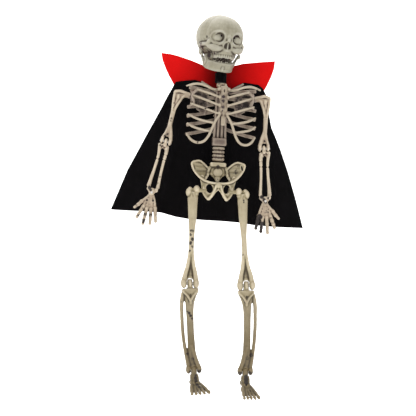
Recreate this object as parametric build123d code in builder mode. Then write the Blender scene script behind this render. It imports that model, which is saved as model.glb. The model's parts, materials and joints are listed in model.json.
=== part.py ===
# A hanging skeleton decoration with a felt cape: moulded bones on plain pins.
# Millimetres. The origin is the hanging hole in the crown, +Z is up and the figure faces -Y.
from build123d import *
import os

# Pins and gaps
arm_pin_r = 1.2
leg_pin_r = 1.6
socket_pin_r = 2.0
running_gap = 0.08
side_gap = 0.35

# Head
head_centre = (-4.6, 5, -23)
head_turn = 13
head_tilt = 3
skull_half_width = 23.5
skull_half_depth = 29
skull_wall = 2
skull_split_y = -11
hanging_hole_r = 1.5
crown_boss_r = 3.5
crown_boss_h = 3
jaw_axis = (0, -1, -17.5)
jaw_drop = 11
jaw_ear_x = 21.2
jaw_ear_w = 3

# Neck
neck_x, neck_y = -2.5, 5
nod_z = -54.5
neck_post_r = 4.3
neck_band_r = 5.7
neck_base_z = -71.5
socket_base_z = -80.5

# Chest
chest_split_y = -2
rib_w = 4.4
chest_wall = 3.2
spine_half_w = 6.5
spine_y = 15
chest_box_z = (-138, -130)
waist_axis_y = 14
shoulder_x, shoulder_y, shoulder_z = 44.5, 4, -87
bracket_x = 32.5
bracket_w = 3.2

# Pelvis
pelvis_block_x = 14.5
hip_x, hip_z = 25.8, -186.5

# Limbs: lengths between joints, and how far each one splays outwards, left then right
upper_arm_l, forearm_l = 51.5, 56
thigh_l, shin_l = 99, 92
upper_arm_splay = {-1: 14.8, 1: 3.4}
forearm_splay = {-1: 12.6, 1: 4.4}
hand_splay = {-1: 6.3, 1: 1.0}
thigh_splay = {-1: -0.8, 1: 5.7}
shin_splay = {-1: -5.6, 1: 2.4}
foot_droop = {-1: 16, 1: 30}
foot_turn = {-1: 34, 1: 22}

# Cape
cape_t = 1.4
cape_y = 26
collar_y = 24.5
collar_tip_y = 15
collar_t = 1.4

os.makedirs("parts", exist_ok=True)
side_names = {-1: "left", 1: "right"}


def hang_from(point, splay, side):
    # A limb's own frame: its joint is the origin and the bone runs down -Z
    return Location(point, (0, -side * splay, 0))


def on(limb, plane):
    # A sketch plane, given in a limb's own frame
    return Plane(limb * plane.location)


def end_of(limb, length):
    return tuple((limb * Location((0, 0, -length))).position)


def across(limb, x, y, z):
    # A place in a limb with its Z turned to run from side to side
    return limb * Location((x, y, z), (0, 90, 0))


def save(part, name, color):
    part.label = name
    part.color = Color(*color)
    export_step(part, f"parts/{name}.step")


bone = (0.83, 0.78, 0.66)
leg_bone = (0.76, 0.72, 0.52)
dark = (0.1, 0.09, 0.09)
steel = (0.6, 0.6, 0.62)


def round_bone(limb, sections):
    # A bone lofted through ovals given as (x, z, half width, half depth)
    with BuildPart() as shaft:
        for x, z, half_w, half_d in sections:
            with BuildSketch(on(limb, Plane.XY.offset(z))):
                with Locations((x, 0)):
                    Ellipse(half_w, half_d)
        loft()
    return shaft.part


# ---------------------------------------------------------------- head
head = Location(head_centre, (0, head_tilt, head_turn))
head_axis = Axis(head_centre, (head * Location((0, 1, 0))).position - head.position)
neck_top = (neck_x, neck_y, nod_z)
nod = Location(neck_top, (0, 0, head_turn))


def skull_shell(y_from, y_to):
    # A stretch of the hollow egg of the cranium, turned about the head's front-to-back axis
    with BuildPart() as shell:
        with BuildSketch(on(head, Plane.XY)):
            Ellipse(skull_half_depth, skull_half_width, rotation=-90)
            Ellipse(skull_half_depth - skull_wall, skull_half_width - skull_wall, rotation=-90,
                    mode=Mode.SUBTRACT)
            with Locations((skull_half_width / 2, (y_from + y_to) / 2)):
                Rectangle(skull_half_width, y_to - y_from, mode=Mode.INTERSECT)
        revolve(axis=head_axis)
    return shell.part


rear_shell = skull_shell(skull_split_y, skull_half_depth)
front_shell = skull_shell(-skull_half_depth, skull_split_y)

with BuildPart() as skull_back:
    add(rear_shell)
    # the two ears that hold the nodding pin
    for x in (-4.6, 4.6):
        with Locations(nod * Location((x, 0, 5.5))):
            Box(3.2, 7, 11)
        with Locations(across(nod, x, 0, 0)):
            Cylinder(3.5, 3.2)
    with Locations(across(nod, 0, 0, 0)):
        Cylinder(arm_pin_r, 20, mode=Mode.SUBTRACT)
    # a thick spot in the crown carries the hanging hole
    with Locations((0, 0, -crown_boss_h / 2)):
        Cylinder(crown_boss_r, crown_boss_h)
        Cylinder(hanging_hole_r, 3 * crown_boss_h, mode=Mode.SUBTRACT)
save(skull_back.part, "skull_back", bone)

with BuildPart() as skull_face:
    add(front_shell)
    # upper jaw, under the nose
    with BuildSketch(on(head, Plane.XY.offset(-13))):
        with Locations((0, -15.5)):
            Ellipse(14, 9.5)
    with BuildSketch(on(head, Plane.XY.offset(-20))):
        with Locations((0, -15.5)):
            Ellipse(11.4, 9)
    loft()
    # upper teeth
    with BuildSketch(on(head, Plane.XY.offset(-22.4))):
        with Locations((0, -15.5)):
            Ellipse(10.6, 8.6)
            Ellipse(7.8, 6, mode=Mode.SUBTRACT)
    extrude(amount=3)
    # all of it in front of the seam between the two halves
    with Locations(head * Location((0, skull_split_y + 15, 0))):
        Box(60, 30, 60, mode=Mode.SUBTRACT)
    # cheekbones
    for side in side_names:
        with Locations(head * Location((side * 15.5, -17, -10.5), (0, 0, side * 40))):
            Box(9, 5, 5)
    # eye sockets and nose
    for side in side_names:
        with Locations(head * Location((side * 10.2, -24, 0.5), (90, 0, 0))):
            Cylinder(5.6, 14, mode=Mode.SUBTRACT)
    with BuildSketch(on(head, Plane.XZ.offset(22))):
        with Locations((0, -7.5)):
            RegularPolygon(4.6, 3, rotation=90)
    extrude(amount=12, mode=Mode.SUBTRACT)
save(skull_face.part, "skull_face", bone)

jaw_frame = head * Location(jaw_axis, (jaw_drop, 0, 0))
with BuildPart() as jaw:
    # the arch of the chin, with the row of lower teeth
    with BuildSketch(on(jaw_frame, Plane.XY.offset(-17.5))):
        with Locations((0, -4)):
            Ellipse(18.4, 19.5)
            Ellipse(14.6, 15, mode=Mode.SUBTRACT)
        with Locations((0, -16)):
            Rectangle(50, 24, mode=Mode.INTERSECT)
    extrude(amount=7.5)
    with BuildSketch(on(jaw_frame, Plane.XY.offset(-10))):
        with Locations((0, -15)):
            Ellipse(10.6, 8.2)
            Ellipse(7.8, 5.6, mode=Mode.SUBTRACT)
        with Locations((0, -19)):
            Rectangle(24, 9, mode=Mode.INTERSECT)
    extrude(amount=3)
    # the two ears at the sides
    for side in side_names:
        for x, y, z, depth in ((0, 0, 0, 5.6), (-1.2, -0.5, -9, 7), (-4.6, -3, -17.5, 9)):
            with BuildSketch(on(jaw_frame, Plane.XY.offset(z))):
                with Locations((side * (jaw_ear_x + x), y)):
                    Rectangle(jaw_ear_w, depth)
        loft()
        with Locations(across(jaw_frame, side * jaw_ear_x, 0, 0)):
            Cylinder(2.8, jaw_ear_w)
    with Locations(across(jaw_frame, 0, 0, 0)):
        Cylinder(arm_pin_r + running_gap, 60, mode=Mode.SUBTRACT)
save(jaw.part, "jaw", bone)

for side, word in side_names.items():
    with BuildPart() as jaw_pin:
        with Locations(across(jaw_frame, side * (jaw_ear_x - 0.2), 0, 0)):
            Cylinder(arm_pin_r, 7.4)
        # the shoulder the ear turns against, set in the skull's wall
        with Locations(across(jaw_frame, side * (jaw_ear_x - 3.3), 0, 0)):
            Cylinder(2.4, 3)
        add(skull_back.part, mode=Mode.SUBTRACT)
        add(skull_face.part, mode=Mode.SUBTRACT)
    save(max(jaw_pin.part.solids(), key=lambda solid: solid.volume), f"jaw_pin_{word}", bone)

# ---------------------------------------------------------------- neck
with BuildPart() as neck_post:
    with Locations((neck_x, neck_y, (neck_base_z + nod_z - 4.2) / 2)):
        Cylinder(neck_post_r, nod_z - 4.2 - neck_base_z)
    # turning spigot, down in the chest's socket
    with Locations((neck_x, neck_y, neck_base_z - 3.5)):
        Cylinder(3, 7)
    # the eye that the head nods on
    with Locations(nod * Location((0, 0, -2.2))):
        Box(5.2, 6.4, 4.4)
    with Locations(across(nod, 0, 0, 0)):
        Cylinder(3.2, 5.2)
        Cylinder(arm_pin_r + running_gap, 8, mode=Mode.SUBTRACT)
save(neck_post.part, "neck_post", dark)

with BuildPart() as neck_pin:
    with Locations(across(nod, 0, 0, 0)):
        Cylinder(arm_pin_r, 13)
save(neck_pin.part, "neck_pin", steel)

with BuildPart() as neck_socket:
    with Locations((neck_x, neck_y, (neck_base_z + socket_base_z) / 2)):
        Cylinder(6, neck_base_z - socket_base_z)
    # the web from the breastbone back to the spine
    with Locations((0, -0.4, socket_base_z + 2)):
        Box(7, 22.8, 4)
    with Locations((neck_x, neck_y, neck_base_z - 4)):
        Cylinder(3 + running_gap, 8, mode=Mode.SUBTRACT)
save(neck_socket.part, "neck_socket", bone)

# ---------------------------------------------------------------- chest
# Oval sections of the rib cage: (z, half width, half depth)
chest_sections = [(-74, 29, 15), (-98, 33.5, 19.5), (-120, 36, 21.5), (-141, 37, 21)]
# Front ribs as (inner end, top of the curve, outer end) seen from the front
front_ribs = [
    [(4, -88), (15, -82), (30, -76.5)],
    [(4, -97), (18, -90.5), (36, -83.5)],
    [(4, -106.5), (20, -100), (38, -93.5)],
    [(8, -117), (22, -111.5), (38, -106)],
    [(12, -127), (24, -121.5), (38, -116)],
]
rib_margin = [(4, -104), (9, -116), (15, -129), (24, -136.5), (32, -134), (38, -126)]
# Back ribs as (end on the spine, outer end)
back_ribs = [[(3, -81), (38, -78)], [(3, -88), (38, -88)], [(3, -95), (38, -99.5)],
             [(3, -103), (38, -110.5)], [(3, -112), (38, -119.5)], [(3, -121), (38, -129)]]


def chest_oval(inset):
    sections = [(0, z, half_w - inset, half_d - inset) for z, half_w, half_d in chest_sections]
    return round_bone(Location(), sections)


chest_skin = chest_oval(0) - chest_oval(chest_wall)

with BuildPart() as ribcage_front:
    with BuildSketch(Plane.XZ.offset(-chest_split_y)):
        # breastbone and its pointed end
        with BuildLine():
            Polyline((-4.2, -76), (4.2, -76), (5.2, -84), (4, -106), (2.4, -109), (1.6, -118),
                     (-1.6, -118), (-2.4, -109), (-4, -106), (-5.2, -84), close=True)
        make_face()
        for side in side_names:
            for rib in front_ribs:
                with BuildLine() as rib_line:
                    Spline(*[(side * x, z) for x, z in rib])
                trace(rib_line.line, rib_w)
            with BuildLine() as margin_line:
                Spline(*[(side * x, z) for x, z in rib_margin])
            trace(margin_line.line, rib_w)
    extrude(amount=40)
    add(chest_skin, mode=Mode.INTERSECT)
    # collar bones, from the breastbone out over the shoulders
    for side in side_names:
        with BuildSketch(Plane.XZ.offset(-chest_split_y)):
            with BuildLine() as clavicle_line:
                Spline((side * 3, -79), (side * 17, -76), (side * 38, -75))
            trace(clavicle_line.line, 4.2)
        extrude(amount=11)
    # clear of the block that takes the neck
    with Locations((neck_x, neck_y, (neck_base_z + socket_base_z) / 2)):
        Cylinder(6.3, 12, mode=Mode.SUBTRACT)
    with Locations((0, 0, socket_base_z + 2)):
        Box(7.2, 23.6, 4.2, mode=Mode.SUBTRACT)
save(ribcage_front.part, "ribcage_front", bone)

with BuildPart() as ribcage_back:
    with BuildSketch(Plane.XZ.offset(-chest_split_y)):
        for side in side_names:
            for rib in back_ribs:
                with BuildLine() as rib_line:
                    Line(*[(side * x, z) for x, z in rib])
                trace(rib_line.line, rib_w)
    extrude(amount=-40)
    add(chest_skin, mode=Mode.INTERSECT)
    # spine, with its row of knuckles down the back
    with Locations((0, spine_y, (socket_base_z - 0.2 + chest_box_z[1]) / 2)):
        Box(2 * spine_half_w, 8, socket_base_z - 0.2 - chest_box_z[1])
    for z in range(-126, -82, 8):
        with Locations((0, spine_y + 2, z)):
            Box(5, 8, 4.5)
    # the square block at its foot takes the waist
    with Locations((0, waist_axis_y, sum(chest_box_z) / 2)):
        Box(15, 15, chest_box_z[1] - chest_box_z[0])
        Cylinder(3 + running_gap, 20, mode=Mode.SUBTRACT)
    # shoulder blades and the brackets that hold the arms
    for side in side_names:
        with BuildSketch(Plane.XZ.offset(-17)):
            with BuildLine():
                Polyline((side * 14, -82), (side * 34, -75), (side * 35, -84), (side * 20, -107),
                         (side * 15, -104), close=True)
            make_face()
        extrude(amount=-2.4)
        with Locations((side * bracket_x, 7.7, -87)):
            Box(bracket_w, 19.4, 22)
        with Locations(Location((side * bracket_x, shoulder_y, shoulder_z), (0, 90, 0))):
            Cylinder(socket_pin_r + running_gap, 12, mode=Mode.SUBTRACT)
save(ribcage_back.part, "ribcage_back", bone)

# ---------------------------------------------------------------- waist and pelvis
with BuildPart() as lumbar_spine:
    with Locations((0, waist_axis_y, -146.25)):
        Cylinder(6.4, 15.9)
    # the waists between its four bones
    for z in (-142.4, -146.3, -150.2):
        with Locations((0, waist_axis_y, z)):
            Torus(6.9, 1.2, mode=Mode.SUBTRACT)
    with Locations((0, waist_axis_y, -135)):
        Cylinder(3, 7)
save(lumbar_spine.part, "lumbar_spine", leg_bone)

sacrum = round_bone(Location((0, waist_axis_y, 0)),
                    [(0, -157, 8, 5), (0, -166, 5.5, 4), (0, -176, 2, 2)])

with BuildPart() as pelvis:
    # sacrum, under its flat top plate
    with Locations((0, waist_axis_y, -155.6)):
        Box(17.2, 13, 2.8)
    add(sacrum)
    for side in side_names:
        # hip blade
        with BuildSketch(Plane.XZ.offset(-14)):
            with BuildLine():
                Polyline((side * 5, -157), (side * 11, -160), (side * 19.5, -154.8),
                         (side * 28, -157.3), (side * 26.2, -164), (side * 20.5, -172),
                         (side * 18, -181), (side * 12, -181), (side * 9, -168), close=True)
            make_face()
        extrude(amount=4.5)
        # socket block
        with Locations((side * pelvis_block_x, 2, -184)):
            Box(7, 16, 17)
        # front ring
        with BuildSketch(Plane.XZ.offset(2)):
            with BuildLine():
                Polyline((0, -176.5), (side * 8, -177), (side * 14.3, -175.5), (side * 18, -178),
                         (side * 18, -187), (side * 14.5, -191), (side * 12, -196),
                         (side * 7, -196), (side * 4, -188), (0, -185.5), close=True)
            make_face()
            with Locations((side * 9.2, -184)):
                Circle(3.9, mode=Mode.SUBTRACT)
        extrude(amount=6)
        # rim that joins the blade to the front ring
        with BuildSketch(Plane.XY.offset(-181)):
            with BuildLine():
                Polyline((side * 18, 13), (side * 18, -8), (side * 14, -8), (side * 13.5, 13),
                         close=True)
            make_face()
        extrude(amount=5)
        with Locations(Location((side * pelvis_block_x, 0, hip_z), (0, 90, 0))):
            Cylinder(socket_pin_r + running_gap, 12, mode=Mode.SUBTRACT)
save(pelvis.part, "pelvis", leg_bone)


# ---------------------------------------------------------------- arms
def fork(limb, length, radius, width, depth, slot, pin_r):
    # The lower end of a bone: a round knuckle, slotted for the next bone, with the pin's hole
    with Locations(across(limb, 0, 0, -length)):
        Cylinder(radius, width)
    with Locations(limb * Location((0, 0, -length - 1))):
        Box(slot + 2 * side_gap, 4 * radius, 2 * radius + 4.4, mode=Mode.SUBTRACT)
    with Locations(across(limb, 0, 0, -length)):
        Cylinder(pin_r, width + 2, mode=Mode.SUBTRACT)


def tongue(limb, radius, slot, drop, pin_r):
    # The upper end of a bone: a flat eye that turns in the fork above
    with Locations(across(limb, 0, 0, 0)):
        Cylinder(radius, slot)
    with Locations(limb * Location((0, 0, -drop / 2))):
        Box(slot, 2 * radius - 1, drop)
    with Locations(across(limb, 0, 0, 0)):
        Cylinder(pin_r + running_gap, slot + 2, mode=Mode.SUBTRACT)


def arm(side):
    word = side_names[side]
    shoulder = (side * shoulder_x, shoulder_y, shoulder_z)
    upper = hang_from(shoulder, upper_arm_splay[side], side)
    shaft = round_bone(upper, [(side * 1.5, 4.5, 4, 4), (side * 1, -3, 5, 5),
                               (0, -11, 3.2, 3.2), (0, -26, 2.5, 2.5), (0, -40, 3.6, 3),
                               (0, -49, 6, 3.6)])
    with BuildPart() as humerus:
        add(shaft)
        with Locations(Location(shoulder, (0, 90, 0))):
            Cylinder(3.4, 10)
        fork(upper, upper_arm_l, 4.2, 12, 8, 4, arm_pin_r)
        with Locations(Location(shoulder, (0, 90, 0))):
            Cylinder(socket_pin_r, 16, mode=Mode.SUBTRACT)
        with Locations(upper * Location((side * 7.5, 0, 0))):
            Box(3, 20, 30, mode=Mode.SUBTRACT)
    save(humerus.part, f"humerus_{word}", bone)

    inner = bracket_x - bracket_w / 2 - 1.4
    with BuildPart() as shoulder_pin:
        with Locations(Location((side * (inner + 49) / 2, shoulder_y, shoulder_z), (0, 90, 0))):
            Cylinder(socket_pin_r, 49 - inner)
    save(shoulder_pin.part, f"shoulder_pin_{word}", bone)

    with BuildPart() as elbow_pin:
        with Locations(across(upper, 0, 0, -upper_arm_l)):
            Cylinder(arm_pin_r, 12.6)
    save(elbow_pin.part, f"elbow_pin_{word}", steel)

    elbow = end_of(upper, upper_arm_l)
    lower = hang_from(elbow, forearm_splay[side], side)
    # the tongue stands square in the fork above, the bone below it follows its own splay
    eye = hang_from(elbow, upper_arm_splay[side], side)
    with BuildPart() as forearm:
        with BuildSketch(on(lower, Plane.XZ)):
            with BuildLine():
                Polyline((-3.4, -5.6), (3.4, -5.6), (5.2, -8), (4.4, -16), (4.8, -34),
                         (6.6, -46), (6.6, -52.5), (3.4, -forearm_l - 3.4),
                         (-3.4, -forearm_l - 3.4), (-6.6, -52.5), (-6.6, -46), (-4.8, -34),
                         (-4.4, -16), (-5.2, -8), close=True)
            make_face()
            with Locations((0, -27)):
                SlotOverall(34, 2.6, rotation=90, mode=Mode.SUBTRACT)
        extrude(amount=3.2, both=True)
        tongue(eye, 3.8, 4, 8, arm_pin_r)
        # the cheeks that hold the hand
        with Locations(lower * Location((0, 0, -forearm_l))):
            Box(20, 3, 11, mode=Mode.SUBTRACT)
        with Locations(lower * Location((0, 0, -forearm_l), (90, 0, 0))):
            Cylinder(arm_pin_r, 12, mode=Mode.SUBTRACT)
    save(forearm.part, f"forearm_{word}", bone)

    wrist = end_of(lower, forearm_l)
    with BuildPart() as wrist_pin:
        with Locations(lower * Location((0, 0, -forearm_l), (90, 0, 0))):
            Cylinder(arm_pin_r, 7.2)
    save(wrist_pin.part, f"wrist_pin_{word}", steel)

    palm = hang_from(wrist, hand_splay[side], side)
    # (knuckle, finger tip) from the forefinger to the little finger, then the thumb
    fingers = [((5.2, -13), (10.1, -27.5)), ((1.8, -14), (3, -33.5)), ((-2, -14), (-3.1, -32)),
               ((-5.6, -13), (-9.6, -29)), ((4.5, -5), (14.6, -17.5))]
    with BuildPart() as hand:
        with BuildSketch(on(palm, Plane.XZ)):
            Circle(3.2)
            with BuildLine():
                Polyline((-3.2, 0), (3.2, 0), (4, -6), (6.6, -14.5), (-6.9, -14.5), (-4, -6),
                         close=True)
            make_face()
            for knuckle, tip in fingers:
                with BuildLine() as finger:
                    Line((side * knuckle[0], knuckle[1]), (side * tip[0], tip[1]))
                trace(finger.line, 2.3)
                with Locations((side * tip[0], tip[1])):
                    Circle(1.15)
        extrude(amount=1.15, both=True)
        with Locations(palm * Location((0, 0, 0), (90, 0, 0))):
            Cylinder(arm_pin_r + running_gap, 12, mode=Mode.SUBTRACT)
    save(hand.part, f"hand_{word}", bone)


# ---------------------------------------------------------------- legs
def foot_slab(sole):
    # The foot from heel to knuckles: its side profile, cut to its outline from above
    with BuildPart() as slab:
        with BuildSketch(on(sole, Plane.YZ.offset(-10))):
            with BuildLine():
                Polyline((6.5, -1.5), (6.5, -6.5), (-19, -6.5), (-19, -3.6), (-4, 1.5), close=True)
            make_face()
        extrude(amount=20)
        with BuildSketch(on(sole, Plane.XY.offset(-10))):
            with BuildLine():
                Polyline((-3.5, 7), (3.5, 7), (5, -4), (8.8, -16), (8, -19), (-8, -19),
                         (-8.8, -16), (-5, -4), close=True)
            make_face()
        extrude(amount=14, mode=Mode.INTERSECT)
    return slab.part


def leg(side):
    word = side_names[side]
    hip = (side * hip_x, 0, hip_z)
    thigh = hang_from(hip, thigh_splay[side], side)
    shaft = round_bone(thigh, [(0, 0, 6.4, 4.2), (0, -10, 5.6, 3.9), (0, -19, 5.2, 3.6),
                               (0, -33, 3.5, 3.2), (0, -56, 2.7, 2.7), (0, -80, 4.4, 3.6),
                               (0, -95, 8.3, 5)])
    with BuildPart() as femur:
        add(shaft)
        for x, radius in ((-3.4, 3.6), (4.6, 3.2)):
            with Locations(across(thigh, side * x, 0, 0)):
                Cylinder(radius, 6)
        fork(thigh, thigh_l, 5, 17.4, 10, 5.6, leg_pin_r)
        with Locations(Location(hip, (0, 90, 0))):
            Cylinder(socket_pin_r, 20, mode=Mode.SUBTRACT)
    save(femur.part, f"femur_{word}", leg_bone)

    inner = pelvis_block_x - 2.5
    with BuildPart() as hip_pin:
        with Locations(Location((side * (inner + 32) / 2, 0, hip_z), (0, 90, 0))):
            Cylinder(socket_pin_r, 32 - inner)
    save(hip_pin.part, f"hip_pin_{word}", leg_bone)

    with BuildPart() as knee_pin:
        with Locations(across(thigh, 0, 0, -thigh_l)):
            Cylinder(leg_pin_r, 18)
    save(knee_pin.part, f"knee_pin_{word}", steel)

    knee = end_of(thigh, thigh_l)
    calf = hang_from(knee, shin_splay[side], side)
    eye = hang_from(knee, thigh_splay[side], side)
    inner_bone = round_bone(calf, [(0, -6.2, 8.6, 5.2), (side * 0.5, -14, 6, 4.6),
                                   (side * 2, -32, 3.5, 3.4), (side * 1.8, -64, 3.6, 3.4),
                                   (0, -82, 6.2, 4.2), (0, -90, 7, 4.4)])
    with BuildPart() as shin:
        add(inner_bone)
        # the thin outer bone
        with BuildSketch(on(calf, Plane.XZ)):
            with BuildLine() as outer_bone:
                Spline((side * 6, -9), (side * 10, -34), (side * 9, -62), (side * 5.4, -84))
            trace(outer_bone.line, 3.3)
        extrude(amount=1.8, both=True)
        tongue(eye, 4.6, 5.6, 8, leg_pin_r)
        fork(calf, shin_l, 4, 13.6, 8, 6, leg_pin_r)
    save(shin.part, f"shin_{word}", leg_bone)

    with BuildPart() as ankle_pin:
        with Locations(across(calf, 0, 0, -shin_l)):
            Cylinder(leg_pin_r, 14)
    save(ankle_pin.part, f"ankle_pin_{word}", steel)

    ankle = end_of(calf, shin_l)
    instep = hang_from(ankle, shin_splay[side], side)
    sole = Location(end_of(instep, 11), (0, 0, foot_turn[side])) * Location((0, 0, 0),
                                                                         (foot_droop[side], 0, 0))
    slab = foot_slab(sole)
    with BuildPart() as foot:
        with BuildSketch(on(instep, Plane.XY.offset(-5.4))):
            Ellipse(4.4, 4)
        with BuildSketch(on(instep, Plane.XY.offset(-12))):
            Ellipse(5, 5)
        loft()
        tongue(instep, 3.6, 6, 7, leg_pin_r)
        add(slab)
        with BuildSketch(on(sole, Plane.XY.offset(-6.4))):
            for x in (-7.6, -4, -0.6, 2.9, 7.2):
                with BuildLine() as toe:
                    Line((x * 0.9, -17), (x * 1.15, -25))
                trace(toe.line, 2.8)
        extrude(amount=2.8)
    save(foot.part, f"foot_{word}", leg_bone)


for side in side_names:
    arm(side)
    leg(side)

# ---------------------------------------------------------------- cape
with BuildPart() as cape_panel:
    with BuildSketch(Plane.XZ.offset(-cape_y)):
        with BuildLine():
            Polyline((-50, -74), (-20, -72.5), (20, -72.5), (46, -76), (54, -121), (96, -221),
                     (5, -218), (-114, -212), (-81, -139), close=True)
        make_face()
    extrude(amount=-cape_t)
save(cape_panel.part, "cape_panel", dark)

with BuildPart() as cape_collar:
    # a standing band, curved behind the neck
    with BuildSketch(Plane.XY.offset(-100)):
        with BuildLine() as collar_line:
            ThreePointArc((-72, collar_tip_y), (-5, collar_y), (62, collar_tip_y))
        trace(collar_line.line, collar_t)
    extrude(amount=70)
    # cut to its outline: two points, a dip behind the head, and a seam along the cape's top
    with BuildSketch(Plane.XZ):
        with BuildLine():
            Polyline((-67, -42), (-48, -43), (-25, -49), (-14, -58), (4, -58), (16, -48),
                     (34, -44.5), (57, -42.5), (54, -53), (44, -80), (20, -76), (-20, -76),
                     (-50, -78), close=True)
        make_face()
    extrude(amount=-40, mode=Mode.INTERSECT)
save(cape_collar.part, "cape_collar", (0.75, 0.05, 0.05))

with BuildPart() as cape_neckband:
    band_z = (nod_z - 6, neck_base_z + 1)
    with Locations((neck_x, neck_y, sum(band_z) / 2)):
        Cylinder(neck_band_r, band_z[0] - band_z[1])
    tail_end_y = collar_y - collar_t
    with Locations((neck_x, (neck_y + tail_end_y) / 2, -66)):
        Box(8, tail_end_y - neck_y, 7)
    with Locations((neck_x, neck_y, sum(band_z) / 2)):
        Cylinder(neck_post_r + 0.3, 20, mode=Mode.SUBTRACT)
save(cape_neckband.part, "cape_neckband", dark)
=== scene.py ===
import json
from math import atan2, cos, pi, radians, sin, sqrt

import bpy
import numpy as np
from mathutils import Matrix, Vector


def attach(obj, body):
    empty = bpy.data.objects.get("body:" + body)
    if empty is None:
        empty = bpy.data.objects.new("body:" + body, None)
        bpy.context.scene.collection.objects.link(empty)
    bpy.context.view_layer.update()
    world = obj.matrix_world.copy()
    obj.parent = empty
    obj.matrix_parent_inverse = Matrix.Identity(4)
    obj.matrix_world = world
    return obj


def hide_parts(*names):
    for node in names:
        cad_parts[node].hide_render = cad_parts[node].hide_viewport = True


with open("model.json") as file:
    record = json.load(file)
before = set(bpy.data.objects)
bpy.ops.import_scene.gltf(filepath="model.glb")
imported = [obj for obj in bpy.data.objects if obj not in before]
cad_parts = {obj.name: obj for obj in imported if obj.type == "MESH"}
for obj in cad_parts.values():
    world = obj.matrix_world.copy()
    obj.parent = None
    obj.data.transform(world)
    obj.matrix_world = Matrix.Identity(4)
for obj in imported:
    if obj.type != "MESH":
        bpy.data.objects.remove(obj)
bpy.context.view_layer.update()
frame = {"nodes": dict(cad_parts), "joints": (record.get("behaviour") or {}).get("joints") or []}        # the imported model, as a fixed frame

mm = 0.001
sideNames = {-1: "left", 1: "right"}
joints = {joint["name"]: joint for joint in frame["joints"]}
print("frame loaded:", len(frame["nodes"]), "nodes")


# small tools for modelling, in millimetres

def pick(*pieces):
    bpy.ops.object.select_all(action="DESELECT")
    for piece in pieces:
        piece.select_set(True)
    bpy.context.view_layer.objects.active = pieces[-1]


def applyPlace(piece):
    pick(piece)
    bpy.ops.object.transform_apply(location=True, rotation=True, scale=True)
    return piece


def ball(x, y, z, wide, deep, tall, turn=(0, 0, 0)):
    # an egg shape: half sizes along X, Y and Z
    bpy.ops.mesh.primitive_uv_sphere_add(segments=28, ring_count=18, radius=mm,
                                         location=(x * mm, y * mm, z * mm),
                                         rotation=[radians(angle) for angle in turn])
    piece = bpy.context.object
    piece.scale = (wide, deep, tall)
    return applyPlace(piece)


def brick(x, y, z, wide, deep, tall, turn=(0, 0, 0), rounding=0.3):
    # a block with rounded edges: full sizes
    bpy.ops.mesh.primitive_cube_add(size=mm, location=(x * mm, y * mm, z * mm),
                                    rotation=[radians(angle) for angle in turn])
    piece = bpy.context.object
    piece.scale = (wide, deep, tall)
    applyPlace(piece)
    bpy.ops.object.mode_set(mode="EDIT")
    bpy.ops.mesh.select_all(action="SELECT")
    bpy.ops.mesh.bevel(offset=rounding * min(wide, deep, tall) * mm, segments=3)
    bpy.ops.object.mode_set(mode="OBJECT")
    return piece


def strand(points, radii, blade=0):
    # a bar with round ends through the points, blade makes it a strip of that half height
    bpy.ops.curve.primitive_bezier_curve_add()
    piece = bpy.context.object
    line = piece.data
    knots = line.splines[0].bezier_points
    knots.add(len(points) - 2)
    for knot, point, radius in zip(knots, points, radii):
        knot.co = Vector(point) * mm
        knot.handle_left_type = knot.handle_right_type = "AUTO"
        knot.radius = radius
    line.dimensions, line.twist_mode = "3D", "Z_UP"
    line.bevel_depth, line.bevel_resolution, line.resolution_u = mm, 3, 8
    line.extrude = blade * mm
    line.use_fill_caps = True
    pick(piece)
    bpy.ops.object.convert(target="MESH")
    bar = bpy.context.object
    if blade:
        return bar
    ends = [ball(*points[i], *[radii[i]] * 3) for i in (0, -1)]
    return join([*ends, bar])


def column(stations, sides=28):
    # a bone drawn out through ovals (x, y, z, half width, half depth)
    x, y, z, wide, deep = stations[0]
    bpy.ops.mesh.primitive_circle_add(vertices=sides, radius=mm, fill_type="NGON",
                                      location=(x * mm, y * mm, z * mm))
    piece = bpy.context.object
    pick(piece)
    bpy.ops.object.mode_set(mode="EDIT")
    bpy.ops.mesh.select_all(action="SELECT")
    bpy.ops.transform.resize(value=(wide, deep, 1), center_override=Vector((x, y, z)) * mm)
    for before, after in zip(stations, stations[1:]):
        step = (Vector(after[:3]) - Vector(before[:3])) * mm
        bpy.ops.mesh.extrude_region_move(TRANSFORM_OT_translate={"value": step})
        bpy.ops.transform.resize(value=(after[3] / before[3], after[4] / before[4], 1),
                                 center_override=Vector(after[:3]) * mm)
    bpy.ops.object.mode_set(mode="OBJECT")
    return applyPlace(piece)


def plate(outline, y, thick, smooth=False):
    # a flat sheet cut to an outline of (x, z), standing in the XZ plane at y
    bpy.ops.curve.primitive_bezier_curve_add(rotation=(pi / 2, 0, 0), location=(0, y * mm, 0))
    piece = bpy.context.object
    line = piece.data
    line.dimensions, line.fill_mode = "2D", "BOTH"
    knots = line.splines[0].bezier_points
    knots.add(len(outline) - 2)
    for knot, (x, z) in zip(knots, outline):
        knot.co = Vector((x, z, 0)) * mm
        knot.handle_left_type = knot.handle_right_type = "AUTO" if smooth else "VECTOR"
    line.splines[0].use_cyclic_u = True
    line.extrude = thick / 2 * mm
    pick(piece)
    bpy.ops.object.convert(target="MESH")
    return applyPlace(bpy.context.object)


def join(pieces):
    pick(*pieces)
    if len(pieces) > 1:
        bpy.ops.object.join()
    return bpy.context.object


def modify(piece, kind, **settings):
    pick(piece)
    bpy.ops.object.modifier_add(type=kind)
    modifier = piece.modifiers[-1]
    for key, value in settings.items():
        setattr(modifier, key, value)
    bpy.ops.object.modifier_apply(modifier=modifier.name)


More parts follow.
